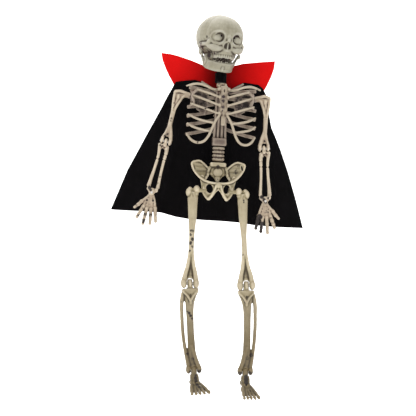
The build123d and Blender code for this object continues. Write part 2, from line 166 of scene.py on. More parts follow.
def fuse(name, solids, grain, cutters=(), soften=4):
    # melts the solids into one skin, cuts the hollows out of it and softens it
    piece = join(solids)
    piece.name = piece.data.name = name
    modify(piece, "REMESH", mode="VOXEL", voxel_size=grain * mm)
    if cutters:
        cutter = join(list(cutters))
        modify(cutter, "REMESH", mode="VOXEL", voxel_size=grain * mm)
        modify(piece, "BOOLEAN", operation="DIFFERENCE", solver="MANIFOLD", object=cutter)
        bpy.data.objects.remove(cutter)
        modify(piece, "REMESH", mode="VOXEL", voxel_size=grain * mm)
    modify(piece, "SMOOTH", factor=0.5, iterations=soften)
    pick(piece)
    bpy.ops.object.shade_smooth()
    return piece


def seat(piece, place):
    # moves the mesh itself, so that the object stays at the origin
    piece.data.transform(place)
    if place.determinant() < 0:
        piece.data.flip_normals()
    return piece


def scaled(place):
    # a frame given in millimetres, for meshes in metres
    made = place.copy()
    made.translation = made.translation * mm
    return made


def readPoints(mesh, what="vertices", key="co", width=3):
    values = np.zeros(len(getattr(mesh, what)) * width)
    getattr(mesh, what).foreach_get(key, values)
    return values.reshape(-1, width)


def paintWashShadeAndStains(piece, spread=14, stainsAndShade=(), undersideShade=0.12):
    # writes where the paint wash gathers in hollows, painted shade on undersides and sides, and stains and
    # painted shade round given spots (x, y, z, radius, strength)
    mesh = piece.data
    points = readPoints(mesh)
    normals = readPoints(mesh, "vertex_normals", "vector")
    ends = np.zeros(len(mesh.edges) * 2, np.int32)
    mesh.edges.foreach_get("vertices", ends)
    first, second = ends[0::2], ends[1::2]
    count = np.bincount(ends, minlength=len(points))[:, None]
    smooth = points.copy()
    for _ in range(spread):
        total = [np.bincount(first, smooth[second, axis], len(points))
                 + np.bincount(second, smooth[first, axis], len(points)) for axis in range(3)]
        smooth = np.stack(total, 1) / count
    hollow = ((smooth - points) * normals).sum(1) / mm
    # painted shade: faces that turn down or sideways, away from the light from above and in front, are
    # pushed into the wash mask
    facing = 0.55 * np.abs(normals[:, 1]) + 0.6 * normals[:, 2]
    hollow += undersideShade * np.clip(0.35 - facing, 0, 1)
    stain = np.zeros(len(points))
    # the spots are stains in the paint, and on the head also painted shade in the mouth, eye holes and nose
    # opening
    for x, y, z, radius, strength in stainsAndShade:
        away = np.linalg.norm(points / mm - (x, y, z), axis=1) / radius
        stain = np.maximum(stain, strength * np.clip(1.6 - 1.6 * away, 0, 1))
    for key, values in (("hollow", hollow), ("stain", stain)):
        layer = mesh.attributes.get(key) or mesh.attributes.new(key, "FLOAT", "POINT")
        layer.data.foreach_set("value", values.astype(np.float32))


# materials

class Wire:
    # a shader socket that takes part in Python expressions
    def __init__(self, tree, socket=None):
        self.tree, self.socket = tree, socket

    def node(self, kind, settings=None, output=0, **inputs):
        made = self.tree.nodes.new("ShaderNode" + kind)
        for key, value in (settings or {}).items():
            if key == "stops":
                ramp = made.color_ramp.elements
                while len(ramp) < len(value):
                    ramp.new(0.5)
                for element, (position, color) in zip(ramp, value):
                    element.position, element.color = position, (*color, 1)
            else:
                setattr(made, key, value)
        for key, value in inputs.items():
            socket = made.inputs[int(key[2:]) if key.startswith("in") else key.replace("_", " ")]
            if isinstance(value, Wire):
                self.tree.links.new(value.socket, socket)
            else:
                socket.default_value = value
        return Wire(self.tree, made.outputs[output])

    def maths(self, operation, first, second=0.0, clamp=False):
        return self.node("Math", {"operation": operation, "use_clamp": clamp}, in0=first, in1=second)

    def __add__(self, other):
        return self.maths("ADD", self, other)

    def __radd__(self, other):
        return self.maths("ADD", other, self)

    def __sub__(self, other):
        return self.maths("SUBTRACT", self, other)

    def __rsub__(self, other):
        return self.maths("SUBTRACT", other, self)

    def __mul__(self, other):
        return self.maths("MULTIPLY", self, other)

    def __rmul__(self, other):
        return self.maths("MULTIPLY", other, self)

    def limited(self):
        return self.maths("ADD", self, 0.0, clamp=True)

    def blend(self, low, high):
        return self.node("Mix", {"data_type": "RGBA"}, output=2, in0=self, in6=low, in7=high)


def newMaterial(name, **uniform):
    material = bpy.data.materials.new(name)
    material.use_nodes = True
    shader = material.node_tree.nodes["Principled BSDF"]
    for key, value in uniform.items():
        shader.inputs[key.replace("_", " ")].default_value = value
    wire = Wire(material.node_tree)

    def feed(socket, value):
        material.node_tree.links.new(value.socket, shader.inputs[socket])

    return material, wire, feed


def rgba(*color):
    return (*color, 1)


def bonePlastic(name, pale, body, shade, shadeAndWashColor, stainShadeColor, blotches, shinShade=None):
    material, wire, feed = newMaterial(name, Specular_IOR_Level=0.42, Coat_Roughness=0.35,
                                       Subsurface_Weight=0.0)
    place = wire.node("TexCoord", output=3)
    broad = wire.node("TexNoise", Vector=place, Scale=95.0, Detail=3.0)
    patchy = wire.node("TexNoise", Vector=place, Scale=330.0, Detail=5.0, Roughness=0.65)
    fine = wire.node("TexNoise", Vector=place, Scale=1700.0, Detail=3.0)
    stretched = wire.node("Mapping", Vector=place, Scale=(900.0, 900.0, 110.0))
    streaks = wire.node("TexNoise", Vector=stretched, Scale=1.0, Detail=3.0)
    hollow = wire.node("Attribute", {"attribute_name": "hollow"}, output=2)
    stain = wire.node("Attribute", {"attribute_name": "stain"}, output=2)
    tone = ((broad - 0.5) * 2.2 + (streaks - 0.5) * 0.9 + 0.45).limited()
    color = tone.blend(rgba(*body), rgba(*shade))
    # paler raised parts where the wash is thin, which also act as a painted highlight on tops and fronts,
    # since undersides carry painted shade
    raisedAndLit = (hollow * -3.2 + (patchy - 0.5) * 0.5).limited()
    color = raisedAndLit.blend(color, rgba(*pale))
    if shinShade:
        # painted shade: the shins, lowest down, are made darker than the thighs
        height = wire.node("SeparateXYZ", output=2, Vector=place)
        darker = wire.node("VectorMath", {"operation": "MULTIPLY"}, in0=color, in1=shinShade)
        color = ((height + 0.27) * -14.0).limited().blend(color, darker)
    speck = ((patchy - blotches) * 7.0).limited()
    color = (speck * 0.55).blend(color, rgba(*shadeAndWashColor))
    # the wash in hollows together with the painted shade on undersides and sides, mixed towards the dark
    # wash colour
    shadeAndWashMask = (hollow * 6.0 + (patchy - 0.5) * 1.3 + (fine - 0.5) * 0.5 - 0.12).limited()
    color = (shadeAndWashMask * 0.92).blend(color, rgba(*shadeAndWashColor))
    # stains, and painted shade where the spots darken the mouth, eye holes and nose
    stainShadeMask = ((stain - 0.5 + (patchy - 0.5) * 1.5 + (streaks - 0.5) * 0.6) * 2.6).limited()
    color = stainShadeMask.blend(color, rgba(*stainShadeColor))
    feed("Base Color", color)
    feed("Roughness", 0.42 + shadeAndWashMask * 0.22 + stainShadeMask * 0.2 + (fine - 0.5) * 0.12)
    relief = patchy * 0.6 + fine * 0.4
    feed("Normal", wire.node("Bump", Strength=0.32, Distance=0.0003, Height=relief))
    return material


boneLooks = {
    "bone_plastic": bonePlastic("bone_plastic", (0.50, 0.424, 0.316), (0.36, 0.285, 0.20),
                                (0.235, 0.172, 0.115), (0.040, 0.021, 0.015),
                                (0.017, 0.010, 0.008), 0.64),
    "rib_plastic": bonePlastic("rib_plastic", (0.355, 0.297, 0.216), (0.215, 0.165, 0.112),
                               (0.13, 0.093, 0.061), (0.034, 0.018, 0.013),
                               (0.020, 0.009, 0.010), 0.62),
    # a darker copy of the bone finish for the back of the rib cage: painted shade for parts that sit behind
    # the front ribs
    "back_bone_plastic": bonePlastic("back_bone_plastic", (0.27, 0.215, 0.165), (0.165, 0.122, 0.092),
                                     (0.100, 0.068, 0.052), (0.022, 0.013, 0.011),
                                     (0.024, 0.015, 0.013), 0.62),
    # the shin factor at the end is painted shade that darkens the lower legs
    "leg_bone_plastic": bonePlastic("leg_bone_plastic", (0.49, 0.42, 0.295), (0.31, 0.26, 0.155),
                                    (0.19, 0.155, 0.078), (0.040, 0.027, 0.013),
                                    (0.016, 0.010, 0.007), 0.66, shinShade=(0.37, 0.325, 0.24)),
    "skull_plastic": bonePlastic("skull_plastic", (0.345, 0.326, 0.262), (0.295, 0.275, 0.20),
                                 (0.19, 0.170, 0.112), (0.042, 0.030, 0.020),
                                 (0.020, 0.007, 0.007), 0.67),
}


def felt(name, dark, light, sheen):
    material, wire, feed = newMaterial(name, Roughness=0.95, Specular_IOR_Level=0.06,
                                       Sheen_Weight=sheen, Sheen_Roughness=0.5)
    place = wire.node("TexCoord", output=3)
    cloud = wire.node("TexNoise", Vector=place, Scale=38.0, Detail=4.0)
    tuft = wire.node("TexNoise", Vector=place, Scale=620.0, Detail=6.0, Roughness=0.7, Distortion=1.4)
    lay = wire.node("Mapping", Vector=place, Rotation=(0.0, 0.6, 0.0), Scale=(4200.0, 4200.0, 700.0))
    fibre = wire.node("TexNoise", Vector=lay, Scale=1.0, Detail=3.0, Distortion=0.8)
    color = (cloud * 0.9 + tuft * 0.7 + fibre * 0.6 - 0.6).limited().blend(rgba(*dark), rgba(*light))
    shade = wire.node("Attribute", {"attribute_name": "shade"}, output=2)
    feed("Base Color", shade.blend(color, rgba(*[value * 0.22 for value in dark])))
    feed("Normal", wire.node("Bump", Strength=0.55, Distance=0.0004,
                             Height=tuft * 0.55 + fibre * 0.45))
    return material


blackFelt = felt("black_felt", (0.0011, 0.0009, 0.0011), (0.0044, 0.0038, 0.0044), 0.010)
redFelt = felt("red_felt", (0.46, 0.0024, 0.0026), (0.70, 0.0065, 0.0060), 0.05)


def pinSteel():
    material, wire, feed = newMaterial("pin_steel", Metallic=0.9, Roughness=0.35)
    place = wire.node("TexCoord", output=3)
    scratch = wire.node("TexNoise", Vector=place, Scale=1400.0, Detail=5.0)
    feed("Base Color", scratch.blend(rgba(0.42, 0.40, 0.38), rgba(0.68, 0.66, 0.62)))
    feed("Roughness", scratch * 0.4 + 0.2)
    feed("Normal", wire.node("Bump", Strength=0.2, Distance=0.0001, Height=scratch))
    return material


def darkPlastic():
    material, wire, feed = newMaterial("dark_plastic", Specular_IOR_Level=0.4)
    place = wire.node("TexCoord", output=3)
    scuff = wire.node("TexNoise", Vector=place, Scale=500.0, Detail=5.0)
    feed("Base Color", scuff.blend(rgba(0.008, 0.007, 0.008), rgba(0.035, 0.03, 0.03)))
    feed("Roughness", scuff * 0.5 + 0.3)
    feed("Normal", wire.node("Bump", Strength=0.3, Distance=0.0002, Height=scuff))
    return material


steelLook, darkLook = pinSteel(), darkPlastic()


def paint(piece, look):
    piece.data.materials.clear()
    piece.data.materials.append(look)


# strength of the painted shade on undersides and sides, for each finish
edges = {"bone_plastic": 0.32, "leg_bone_plastic": 0.30, "skull_plastic": 0.16}


def finishBone(piece, slot, body, nodes, stainsAndShade=(), spread=14, look=None):
    paintWashShadeAndStains(piece, spread, stainsAndShade, edges[slot])
    paint(piece, boneLooks[look or slot])
    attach(piece, body)
    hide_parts(*nodes)


# frames of the limbs, from the joints

def jointPlace(name):
    return Vector(joints[name]["pos_m"]) / mm


def hanging(start, end):
    # a limb's own frame: its joint is the origin and the bone runs down -Z
    along = end - start
    return Matrix.Translation(start) @ Matrix.Rotation(atan2(-along.x, -along.z), 4, "Y")


limbs = {}
splay = {"hand": {-1: 6.3, 1: 1.0}}
for side, word in sideNames.items():
    shoulder, elbow = jointPlace(f"shoulder_swing_{word}"), jointPlace(f"elbow_bend_{word}")
    wrist, hip = jointPlace(f"wrist_sway_{word}"), jointPlace(f"hip_swing_{word}")
    knee, ankle = jointPlace(f"knee_bend_{word}"), jointPlace(f"ankle_bend_{word}")
    limbs[side] = {
        "upperArm": hanging(shoulder, elbow), "forearm": hanging(elbow, wrist),
        "hand": Matrix.Translation(wrist) @ Matrix.Rotation(radians(-side * splay["hand"][side]), 4, "Y"),
        "thigh": hanging(hip, knee), "shin": hanging(knee, ankle)}
    limbs[side]["foot"] = Matrix.Translation(ankle - knee) @ limbs[side]["shin"]


def makePair(model, key, names, slot, bodies, nodes, stainsAndShade, spread=14):
    # the model is a right-hand bone at the origin, each side gets its own mesh
    for side, word in sideNames.items():
        piece = model.copy()
        piece.data = model.data.copy()
        piece.name = piece.data.name = f"{names}_{word}"
        bpy.context.scene.collection.objects.link(piece)
        seat(piece, scaled(limbs[side][key] @ Matrix.Diagonal((side, 1, 1, 1))))
        place = limbs[side][key] @ Matrix.Diagonal((side, 1, 1, 1))
        spots = [(*(place @ Vector(spot[:3])), spot[3] * 1.35, spot[4]) for spot in stainsAndShade[side]]
        finishBone(piece, slot, f"{bodies}_{word}", [f"{nodes}_{word}"], spots, spread)
    bpy.data.objects.remove(model)
    print(names, "done")


# thigh bones
femur = {"grain": 0.5,
         "shaft": [(0, 0, -2, 4.6, 3.8), (0.4, 0, -9, 5.5, 4.1), (0.3, 0, -17, 5.0, 3.9),
                   (0, 0, -27, 4.6, 3.7), (0, 0, -36, 3.9, 3.3), (0, 0, -47, 3.0, 2.9),
                   (0, 0, -62, 2.9, 2.9), (0, 0, -70, 3.6, 3.0), (0, 0.3, -76, 4.5, 2.9),
                   (0, 0.9, -84, 6.0, 2.4), (0, 1.3, -90, 7.2, 2.2), (0, 1.0, -95.2, 7.8, 1.9)],
         "slot": 6.2}


def thighBone():
    solids = [column(femur["shaft"]),
              ball(-3.3, -0.6, 0.6, 3.5, 4.3, 4.5), ball(-2.5, 0, -3.5, 3.2, 3.8, 3.6),
              ball(4.7, 0, -2.6, 3.4, 3.9, 4.8), ball(3.7, 0.2, 0.9, 2.2, 3.0, 2.5)]
    for way in (-1, 1):
        solids += [strand([(way * 1.5, -1.3, -68), (way * 3.0, -1.9, -79),
                           (way * 5.5, -1.7, -90), (way * 6.2, -1.0, -97)], [1.8, 2.0, 2.5, 2.9]),
                   ball(way * 6.5, 0, -98.8, 3.4, 5.2, 5.7),
                   ball(way * 6.6, 1.6, -95, 2.4, 4.2, 4.2)]
    hollows = [brick(0, 0, -103.4, femur["slot"], 20, 19),
               strand([(-12, 5.0, -90.5), (12, 5.0, -90.5)], [1.8, 1.8]),
               ball(0.9, -4.7, -4.5, 0.8, 1.5, 4.5, (0, 12, 0)),
               strand([(0, -2.9, -71), (0, -3.4, -80), (0, -3.6, -90)], [0.5, 1.3, 2.5]),
               strand([(0, 3.4, -76), (0, 4.6, -90)], [0.4, 2.6])]
    return fuse("femur", solids, femur["grain"], hollows, soften=5)


thighStains = {-1: [(0.3, -2.5, -43.5, 2.6, 0.85), (1.4, -2.3, -47.5, 2.2, 0.9),
                    (-0.6, -2.6, -52, 2.4, 0.95), (1.3, -2.3, -56, 2.6, 0.95),
                    (-1.2, -2.3, -60, 2.2, 0.9), (1.4, -2, -64.5, 1.8, 0.85),
                    (0, -3.4, -86, 2.0, 0.7), (0, -5, -95, 3.4, 0.75)],
               1: [(1.0, -4.4, -8, 1.5, 1.0), (1.2, -4.2, -10.5, 1.3, 0.95),
                   (-2.2, -2.4, -66, 1.4, 0.8), (-2.6, -1.0, -56, 1.2, 0.75),
                   (0, -3.4, -86, 2.0, 0.75), (0, -5, -95, 3.4, 0.75)]}
makePair(thighBone(), "thigh", "thigh_bone", "leg_bone_plastic", "thigh", "femur", thighStains)


# shin bones
shinBone = {"grain": 0.5, "slot": 6.5,
            "inner": [(0, 0, -5.3, 8.7, 4.6), (0, 0, -7.2, 9.1, 5.1), (0, 0, -9.4, 8.7, 5.1),
                      (0.4, 0, -14, 6.6, 4.6), (1.0, 0, -20, 5.0, 4.2), (1.4, 0, -27, 4.3, 3.7),
                      (1.5, 0, -36, 3.9, 3.4), (1.6, 0, -50, 3.8, 3.3), (1.5, 0, -62, 4.0, 3.3),
                      (1.2, 0, -72, 4.2, 3.3), (0.4, 0.5, -80, 5.2, 2.9), (0, 0.9, -86, 5.8, 2.3),
                      (0, 0.7, -91, 6.0, 2.1)],
            "outer": [(7.6, 0.4, -11), (9.4, 0.4, -18), (10.1, 0.3, -34), (9.9, 0.2, -50),
                      (9.0, 0.1, -63), (7.4, 0, -75), (5.4, 0, -88)]}


def lowerLeg():
    solids = [column(shinBone["inner"]),
              strand(shinBone["outer"], [2.6, 2.3, 2.1, 2.0, 2.0, 2.2, 2.4]),
              brick(0, 0, -4, 5.8, 7.6, 6),
              column([(0, 0, -3.6, 2.9, 4.4), (0, 0, 0, 2.9, 4.5), (0, 0, 2.4, 2.9, 3.8),
                      (0, 0, 3.8, 2.7, 2.5), (0, 0, 4.6, 2.2, 1.0)]),
              ball(0, -3.4, 0.2, 1.9, 2.6, 3.8),
              strand([(-7.2, -2.6, -8.2), (-3.6, -4.2, -12), (0.2, -4.9, -17.5)], [1.5, 1.2, 1.5]),
              strand([(7.2, -2.6, -8.2), (3.8, -4.2, -12), (0.4, -4.9, -17.5)], [1.5, 1.2, 1.5]),
              ball(0.3, -4.0, -18.5, 1.6, 1.6, 3.6),
              strand([(1.4, -1.2, -66), (-1.4, -1.4, -77), (-5.0, -0.8, -88)], [2.6, 2.4, 2.5]),
              ball(-5.7, 0, -91.2, 2.9, 4.2, 4.7), ball(5.7, 0, -91.2, 2.9, 4.2, 4.7)]
    hollows = [brick(0, 0, -98.1, shinBone["slot"], 20, 19.6),
               strand([(-12, 5.6, -4.6), (12, 5.6, -4.6)], [2.2, 2.2]),
               strand([(-2.7, -4.6, 3.2), (-2.9, -5.0, -3.4)], [0.9, 1.1]),
               strand([(2.7, -4.6, 3.2), (2.9, -5.0, -3.4)], [0.9, 1.1]),
               strand([(3.6, -3.4, -70), (1.6, -3.8, -78), (0.6, -4.0, -87)], [0.4, 1.0, 1.4]),
               strand([(-1.5, -4.6, -78), (-2.4, -4.6, -88)], [0.4, 0.9]),
               ball(0.2, -6.2, -11.5, 1.5, 1.9, 1.8),
               strand([(0, 4.8, -14), (1.2, 4.4, -28)], [1.4, 0.5])]
    return fuse("shin", solids, shinBone["grain"], hollows, soften=5)


shinStains = {-1: [(3.6, -2.0, -29, 1.8, 1.0), (2.4, -3.0, -31, 2.0, 1.1),
                   (0.8, -3.2, -34, 1.9, 1.1), (-0.8, -2.9, -37, 1.8, 1.1),
                   (10.0, -1, -19, 1.4, 0.8), (9.4, -1, -61, 1.3, 0.8), (6, -2, -74, 2.4, 0.8),
                   (1, -3.4, -80, 3.0, 0.7), (0, -4, -86, 3.2, 0.8), (-5.4, -2, -92.6, 3.4, 0.95),
                   (5.4, -2, -92.6, 3.0, 0.85)],
              1: [(6, -2, -74, 3.0, 0.85), (2, -3.4, -77, 3.4, 0.75), (0, -4, -86, 3.2, 0.75),
                  (-5.4, -2, -92.6, 3.4, 0.95), (5.4, -2, -92.6, 3.2, 0.95),
                  (0.4, -4.6, -11.5, 1.8, 0.6)]}
makePair(lowerLeg(), "shin", "shin_bones", "leg_bone_plastic", "shin", "shin", shinStains)


# feet
foot = {"grain": 0.42, "droop": {-1: 19, 1: 28}, "turn": {-1: 20, 1: 22},
        "spread": {-1: (1.2, 0.84), 1: (1.08, 0.92)},
        "heel": {-1: (4.6, 4.6, 5.4), 1: (4.2, 4.4, 4.0)},
        "toes": (-7.4, -3.9, -0.5, 3.0, 7.0)}


def footBones(side):
    word = sideNames[side]
    ankleFrame = limbs[side]["foot"]
    sole = (ankleFrame @ Matrix.Translation((0, 0, -11))
            @ Matrix.Rotation(radians(foot["turn"][side]), 4, "Z")
            @ Matrix.Rotation(radians(foot["droop"][side]), 4, "X")
            @ Matrix.Diagonal((*foot["spread"][side], 1, 1)))
    upright = [brick(0, 0, -3, 6.1, 6.6, 6),
               column([(0, 0, -3, 3.2, 3.5), (0, 0, 0, 3.2, 3.7), (0, 0, 1.9, 3.2, 3.2),
                       (0, 0, 3.1, 3.1, 2.2), (0, 0, 3.8, 2.7, 0.9)]),
               column([(0, 0, -4.6, 4.5, 3.4), (0.2, 0, -8, 4.9, 4.0), (0.4, 0, -10.5, 4.9, 4.6),
                       (0.5, 0.3, -13, 4.8, 4.8)]),
               ball(-1.0, -1.5, -18.5, *foot["heel"][side])]
    flat = [ball(0, 3.2, -3.2, 3.7, 4.4, 3.7), ball(0, -3, -1.8, 4.8, 6.4, 3.8),
            ball(0.2, -9, -3.6, 5.6, 6.0, 2.4)]
    for i, x in enumerate(foot["toes"]):
        thick = 2.1 if i == 4 else 1.7
        long = -23.4 + 0.7 * abs(i - 3)
        flat += [strand([(x * 0.4, -3, -1.4), (x * 0.72, -10, -3.2), (x * 0.92, -15.6, -5.0)],
                        [1.6, thick * 0.95, thick * 1.12]),
                 strand([(x * 0.94, -16.2, -5.1), (x * 1.03, -18.8, -4.9), (x * 1.08, -20.8, -5.4)],
                        [thick, thick * 0.72, thick * 0.95]),
                 strand([(x * 1.08, -20.8, -5.4), (x * 1.12, long, -6.0)],
                        [thick * 0.92, thick * 0.7])]
    for piece in upright:
        seat(piece, scaled(ankleFrame))
    for piece in flat:
        seat(piece, scaled(sole))
    groove = strand([(0.6, -4.9, -6.5), (0.4, -5.3, -9.5), (0.4, -5.4, -13.5)], [1.1, 0.9, 0.8])
    hollows = [seat(groove, scaled(ankleFrame))]
    for near, far in zip(foot["toes"], foot["toes"][1:]):
        mid = (near + far) / 2
        hollows.append(seat(strand([(mid * 0.5, -7, 0.6), (mid * 0.85, -14, -2.3),
                                    (mid * 0.95, -18, -3.0)], [0.4, 0.75, 0.9]), scaled(sole)))
    piece = fuse(f"foot_bones_{word}", upright + flat, foot["grain"], hollows, soften=4)
    spots = [(*(ankleFrame @ Vector(spot[:3])), *spot[3:]) for spot in footStains[side]]
    spots += [(*(sole @ Vector(spot[:3])), *spot[3:]) for spot in soleStains[side]]
    finishBone(piece, "leg_bone_plastic", f"foot_{word}", [f"foot_{word}"], spots)


footStains = {-1: [(2.0, -4.2, -5.0, 2.7, 1.2), (1.4, -4.4, -8, 2.9, 1.3), (1.6, -4.8, -11, 2.8, 1.3),
                   (2.2, -6.5, -14.5, 2.8, 1.1), (3.8, -9.0, -16.5, 2.6, 1.0), (-3.0, -4.5, -18, 3.6, 0.7)],
              1: [(0.6, -4.2, -4.5, 3.6, 1.2), (0.7, -4.4, -7, 4.0, 1.4), (0.6, -4.8, -10.5, 3.4, 1.3),
                  (0.4, -5.4, -13.6, 2.0, 1.1), (-4.6, -1.5, -12, 2.0, 0.9)]}
soleStains = {-1: [(-2, -15, -5.5, 4.0, 0.62), (2, -14, -3, 3.0, 0.7), (5, -17, -3.4, 2.4, 0.65)],
              1: [(1, -13, -2.4, 3.0, 0.66), (5, -18, -3.4, 2.4, 0.7), (6.6, -22, -5, 1.6, 0.7)]}
for side in sideNames:
    footBones(side)
print("feet done")


# upper arms
armBone = {"grain": 0.42, "slot": 4.8}


def upperArm(side):
    word = sideNames[side]
    place = limbs[side]["upperArm"] @ Matrix.Diagonal((side, 1, 1, 1))
    lift = (place.inverted() @ (place.translation + Vector((-side * 9.2, 0, 0)))).z
    solids = [strand([(5.8, 0, 2.4), (1.5, 0, 4.0), (-4, 0, 2.6 + lift / 2), (-8.8, 0, 1.4 + lift)],
                     [2.0, 2.0, 2.1, 2.2]),
              strand([(6.3, 0, 1.6), (5.6, 0, -6), (3.7, 0, -15), (2.3, 0, -22)],
                     [1.8, 1.6, 1.6, 1.9]),
              strand([(-8.0, 0, 1.0 + lift), (-3.2, 0, -0.6 + lift / 2), (-0.5, 0, -7),
                      (1.2, 0, -15), (1.9, 0, -22)], [1.9, 2.2, 1.7, 1.6, 1.9]),
              ball(1.6, 0.9, -2.5, 5.0, 2.3, 6.0), ball(2.2, 0.9, -9, 3.0, 1.7, 6.0),
              ball(1.7, -0.7, -2.0, 2.2, 2.2, 3.4),
              strand([(1.8, -0.7, -4), (2.6, -0.3, -11)], [1.6, 0.6]),
              ball(1.9, -2.6, -1.6, 0.9, 0.9, 0.9),
              column([(2.1, 0, -19, 2.4, 2.3), (1.9, 0, -24, 2.35, 2.3), (1.4, 0, -31, 2.2, 2.2),
                      (0.6, 0, -38, 2.6, 2.4), (0.2, 0.5, -44, 3.8, 1.9), (0.1, 0.8, -46, 4.4, 1.6)]),
              strand([(1.2, -0.2, -34), (2.9, -0.4, -42), (4.6, -0.2, -48.5)], [1.9, 1.4, 1.6]),
              strand([(0.2, -0.4, -35), (-2.4, -0.6, -42), (-4.0, -0.4, -48.5)], [1.9, 2.0, 2.4]),
              ball(4.3, 0, -50.6, 1.7, 3.6, 4.0), ball(-4.4, 0, -50.6, 1.95, 3.8, 4.2)]
    hollows = [brick(0, 0, -55.8, armBone["slot"], 14, 19),
               ball(0.6, -2.4, -43.6, 1.7, 1.4, 2.2), ball(0.3, 3.0, -43.6, 2.0, 1.5, 2.6)]
    piece = fuse(f"upper_arm_bone_{word}", solids, armBone["grain"], hollows, soften=3)
    seat(piece, scaled(place))
    spots = [(*(place @ Vector(spot[:3])), *spot[3:]) for spot in upperArmStains[side]]
    finishBone(piece, "bone_plastic", f"upper_arm_{word}", [f"humerus_{word}"], spots)


upperArmStains = {-1: [(1.8, -2, -26.5, 2.6, 0.72), (1.6, -1.6, -29, 2.0, 0.8),
                       (0.7, -2, -44, 2.4, 1.0), (2.6, -1.5, -46, 2.2, 0.9),
                       (4.2, -1.6, -10, 1.6, 0.8), (3.0, -1.6, -15, 1.4, 0.8)],
                  1: [(0.7, -2, -44, 2.4, 0.95), (1.8, -2, -14, 1.6, 0.75), (2.0, -2, -20, 1.2, 0.7)]}
for side in sideNames:
    upperArm(side)


# forearms
def forearmBones():
    solids = [ball(0, 0, 0, 1.9, 3.5, 3.5), brick(0, 0, -3.4, 3.8, 5.4, 5),
              strand([(5.4, -0.4, -4.8), (1.5, -0.8, -4.4), (-2.0, -0.4, -5.2)], [1.2, 1.2, 1.5]),
              ball(-2.7, 0, -7.2, 2.0, 2.8, 2.8),
              strand([(5.3, 0, -4.6), (4.6, 0, -8), (3.7, 0, -15), (3.8, 0, -30),
                      (4.6, 0, -43), (4.8, 0, -50)], [1.7, 1.8, 1.5, 1.55, 1.9, 2.3]),
              strand([(-2.8, 0, -6), (-3.6, 0, -11), (-3.6, 0, -20), (-4.0, 0, -34),
                      (-4.8, 0, -46), (-5.0, 0, -51)], [2.4, 2.0, 1.6, 1.5, 1.7, 2.0]),
              ball(0.8, 0.9, -6, 3.4, 1.6, 3.2),
              ball(0, 0, -54.2, 5.2, 3.4, 3.6), ball(4.0, 0, -52.4, 2.6, 3.2, 3.0),
              ball(-4.0, 0, -52.8, 2.5, 3.0, 2.8), ball(0, 0, -57, 3.4, 3.3, 3.0)]
    hollows = [brick(0, 0, -57.4, 22, 3.2, 14.4, rounding=0.1),
               ball(0.8, 0, -9.2, 1.4, 6, 1.7), ball(2.2, -2.4, -5.3, 1.6, 1.4, 0.9),
               ball(3.7, -3.8, -51.6, 1.2, 1.5, 1.5), ball(0, -4.4, -56, 1.9, 1.2, 1.9)]
    return fuse("forearm", solids, 0.42, hollows, soften=3)


forearmStains = {-1: [(3.7, -2.6, -51.6, 2.4, 1.2), (1.6, -2.8, -53.6, 1.8, 0.95),
                      (0.8, -1, -8.6, 2.0, 0.8), (4.4, -1, -5.6, 1.8, 0.85),
                      (-4.0, -1, -38, 2.0, 0.6), (-4.4, -1, -45, 2.0, 0.66)],
                 1: [(-3.7, -2.6, -51.6, 2.6, 1.2), (-1.4, -2.8, -54.6, 2.2, 1.1),
                     (0.8, -1, -8.6, 2.0, 0.8), (3, -3, -53, 1.6, 0.9), (0, -3, -57.6, 2.4, 1.0)]}
makePair(forearmBones(), "forearm", "forearm_bones", "bone_plastic", "forearm", "forearm",
         forearmStains)


# hands
hand = {"grain": 0.34,
        "fingers": [((6.0, -15.4), (11.2, -28.2)), ((2.2, -17.0), (3.8, -34.2)),
                    ((-2.2, -17.0), (-3.6, -33.0)), ((-6.2, -15.6), (-9.2, -29.8))]}


def fingerBeads(knuckle, tip, thick):
    # three finger bones with swollen ends
    start, end = Vector((knuckle[0], 0, knuckle[1])), Vector((tip[0], 0, tip[1]))
    beads, stops = [], (0, 0.44, 0.74, 1.0)
    for first, last in zip(stops, stops[1:]):
        a, b = start.lerp(end, first + 0.02), start.lerp(end, last - 0.02)
        beads.append(strand([a, a.lerp(b, 0.5), b], [thick, thick * 0.84, thick * 0.98]))
        thick *= 0.94
    return beads


def handBones():
    solids = [ball(0, 0, -1.2, 3.0, 1.35, 3.2), ball(0, 0, -4.6, 3.4, 1.5, 2.8),
              ball(0.4, -0.2, -9.0, 4.6, 1.6, 4.2), ball(0.3, 0, -14.4, 7.0, 1.3, 3.2)]
    for knuckle, tip in hand["fingers"]:
        solids += [strand([(knuckle[0] * 0.42, 0, -3.6), (knuckle[0] * 0.8, -0.15, -9.5),
                           (knuckle[0], 0, knuckle[1])], [1.3, 1.15, 1.5])]
        solids += fingerBeads(knuckle, tip, 2.15)
    solids += [strand([(1.6, 0, -3.2), (5.6, -0.3, -7.4), (8.4, -0.3, -10.6)], [1.4, 1.3, 1.5]),
               strand([(8.6, -0.2, -10.8), (10.4, 0, -13.2), (11.8, 0, -14.8)], [2.1, 1.8, 2.0]),
               strand([(11.8, 0, -14.8), (15.2, 0, -18.2)], [1.8, 1.4])]
    hollows = [ball(3.6, -1.6, -8.8, 0.7, 1.0, 1.4, (0, 20, 0)),
               ball(-3.0, -1.6, -8.2, 0.7, 1.0, 1.7, (0, -14, 0)),
               ball(-3.4, 1.6, -9, 0.6, 0.9, 2.0), ball(2.0, 1.6, -9, 0.6, 0.9, 2.4),
               ball(-0.6, 1.6, -9.6, 0.5, 0.9, 2.4),
               strand([(-2.4, -1.9, -11.8), (0.4, -2.0, -12.2), (2.8, -1.9, -11.6)],
                      [0.5, 0.6, 0.5])]
    return fuse("hand", solids, hand["grain"], hollows, soften=2)


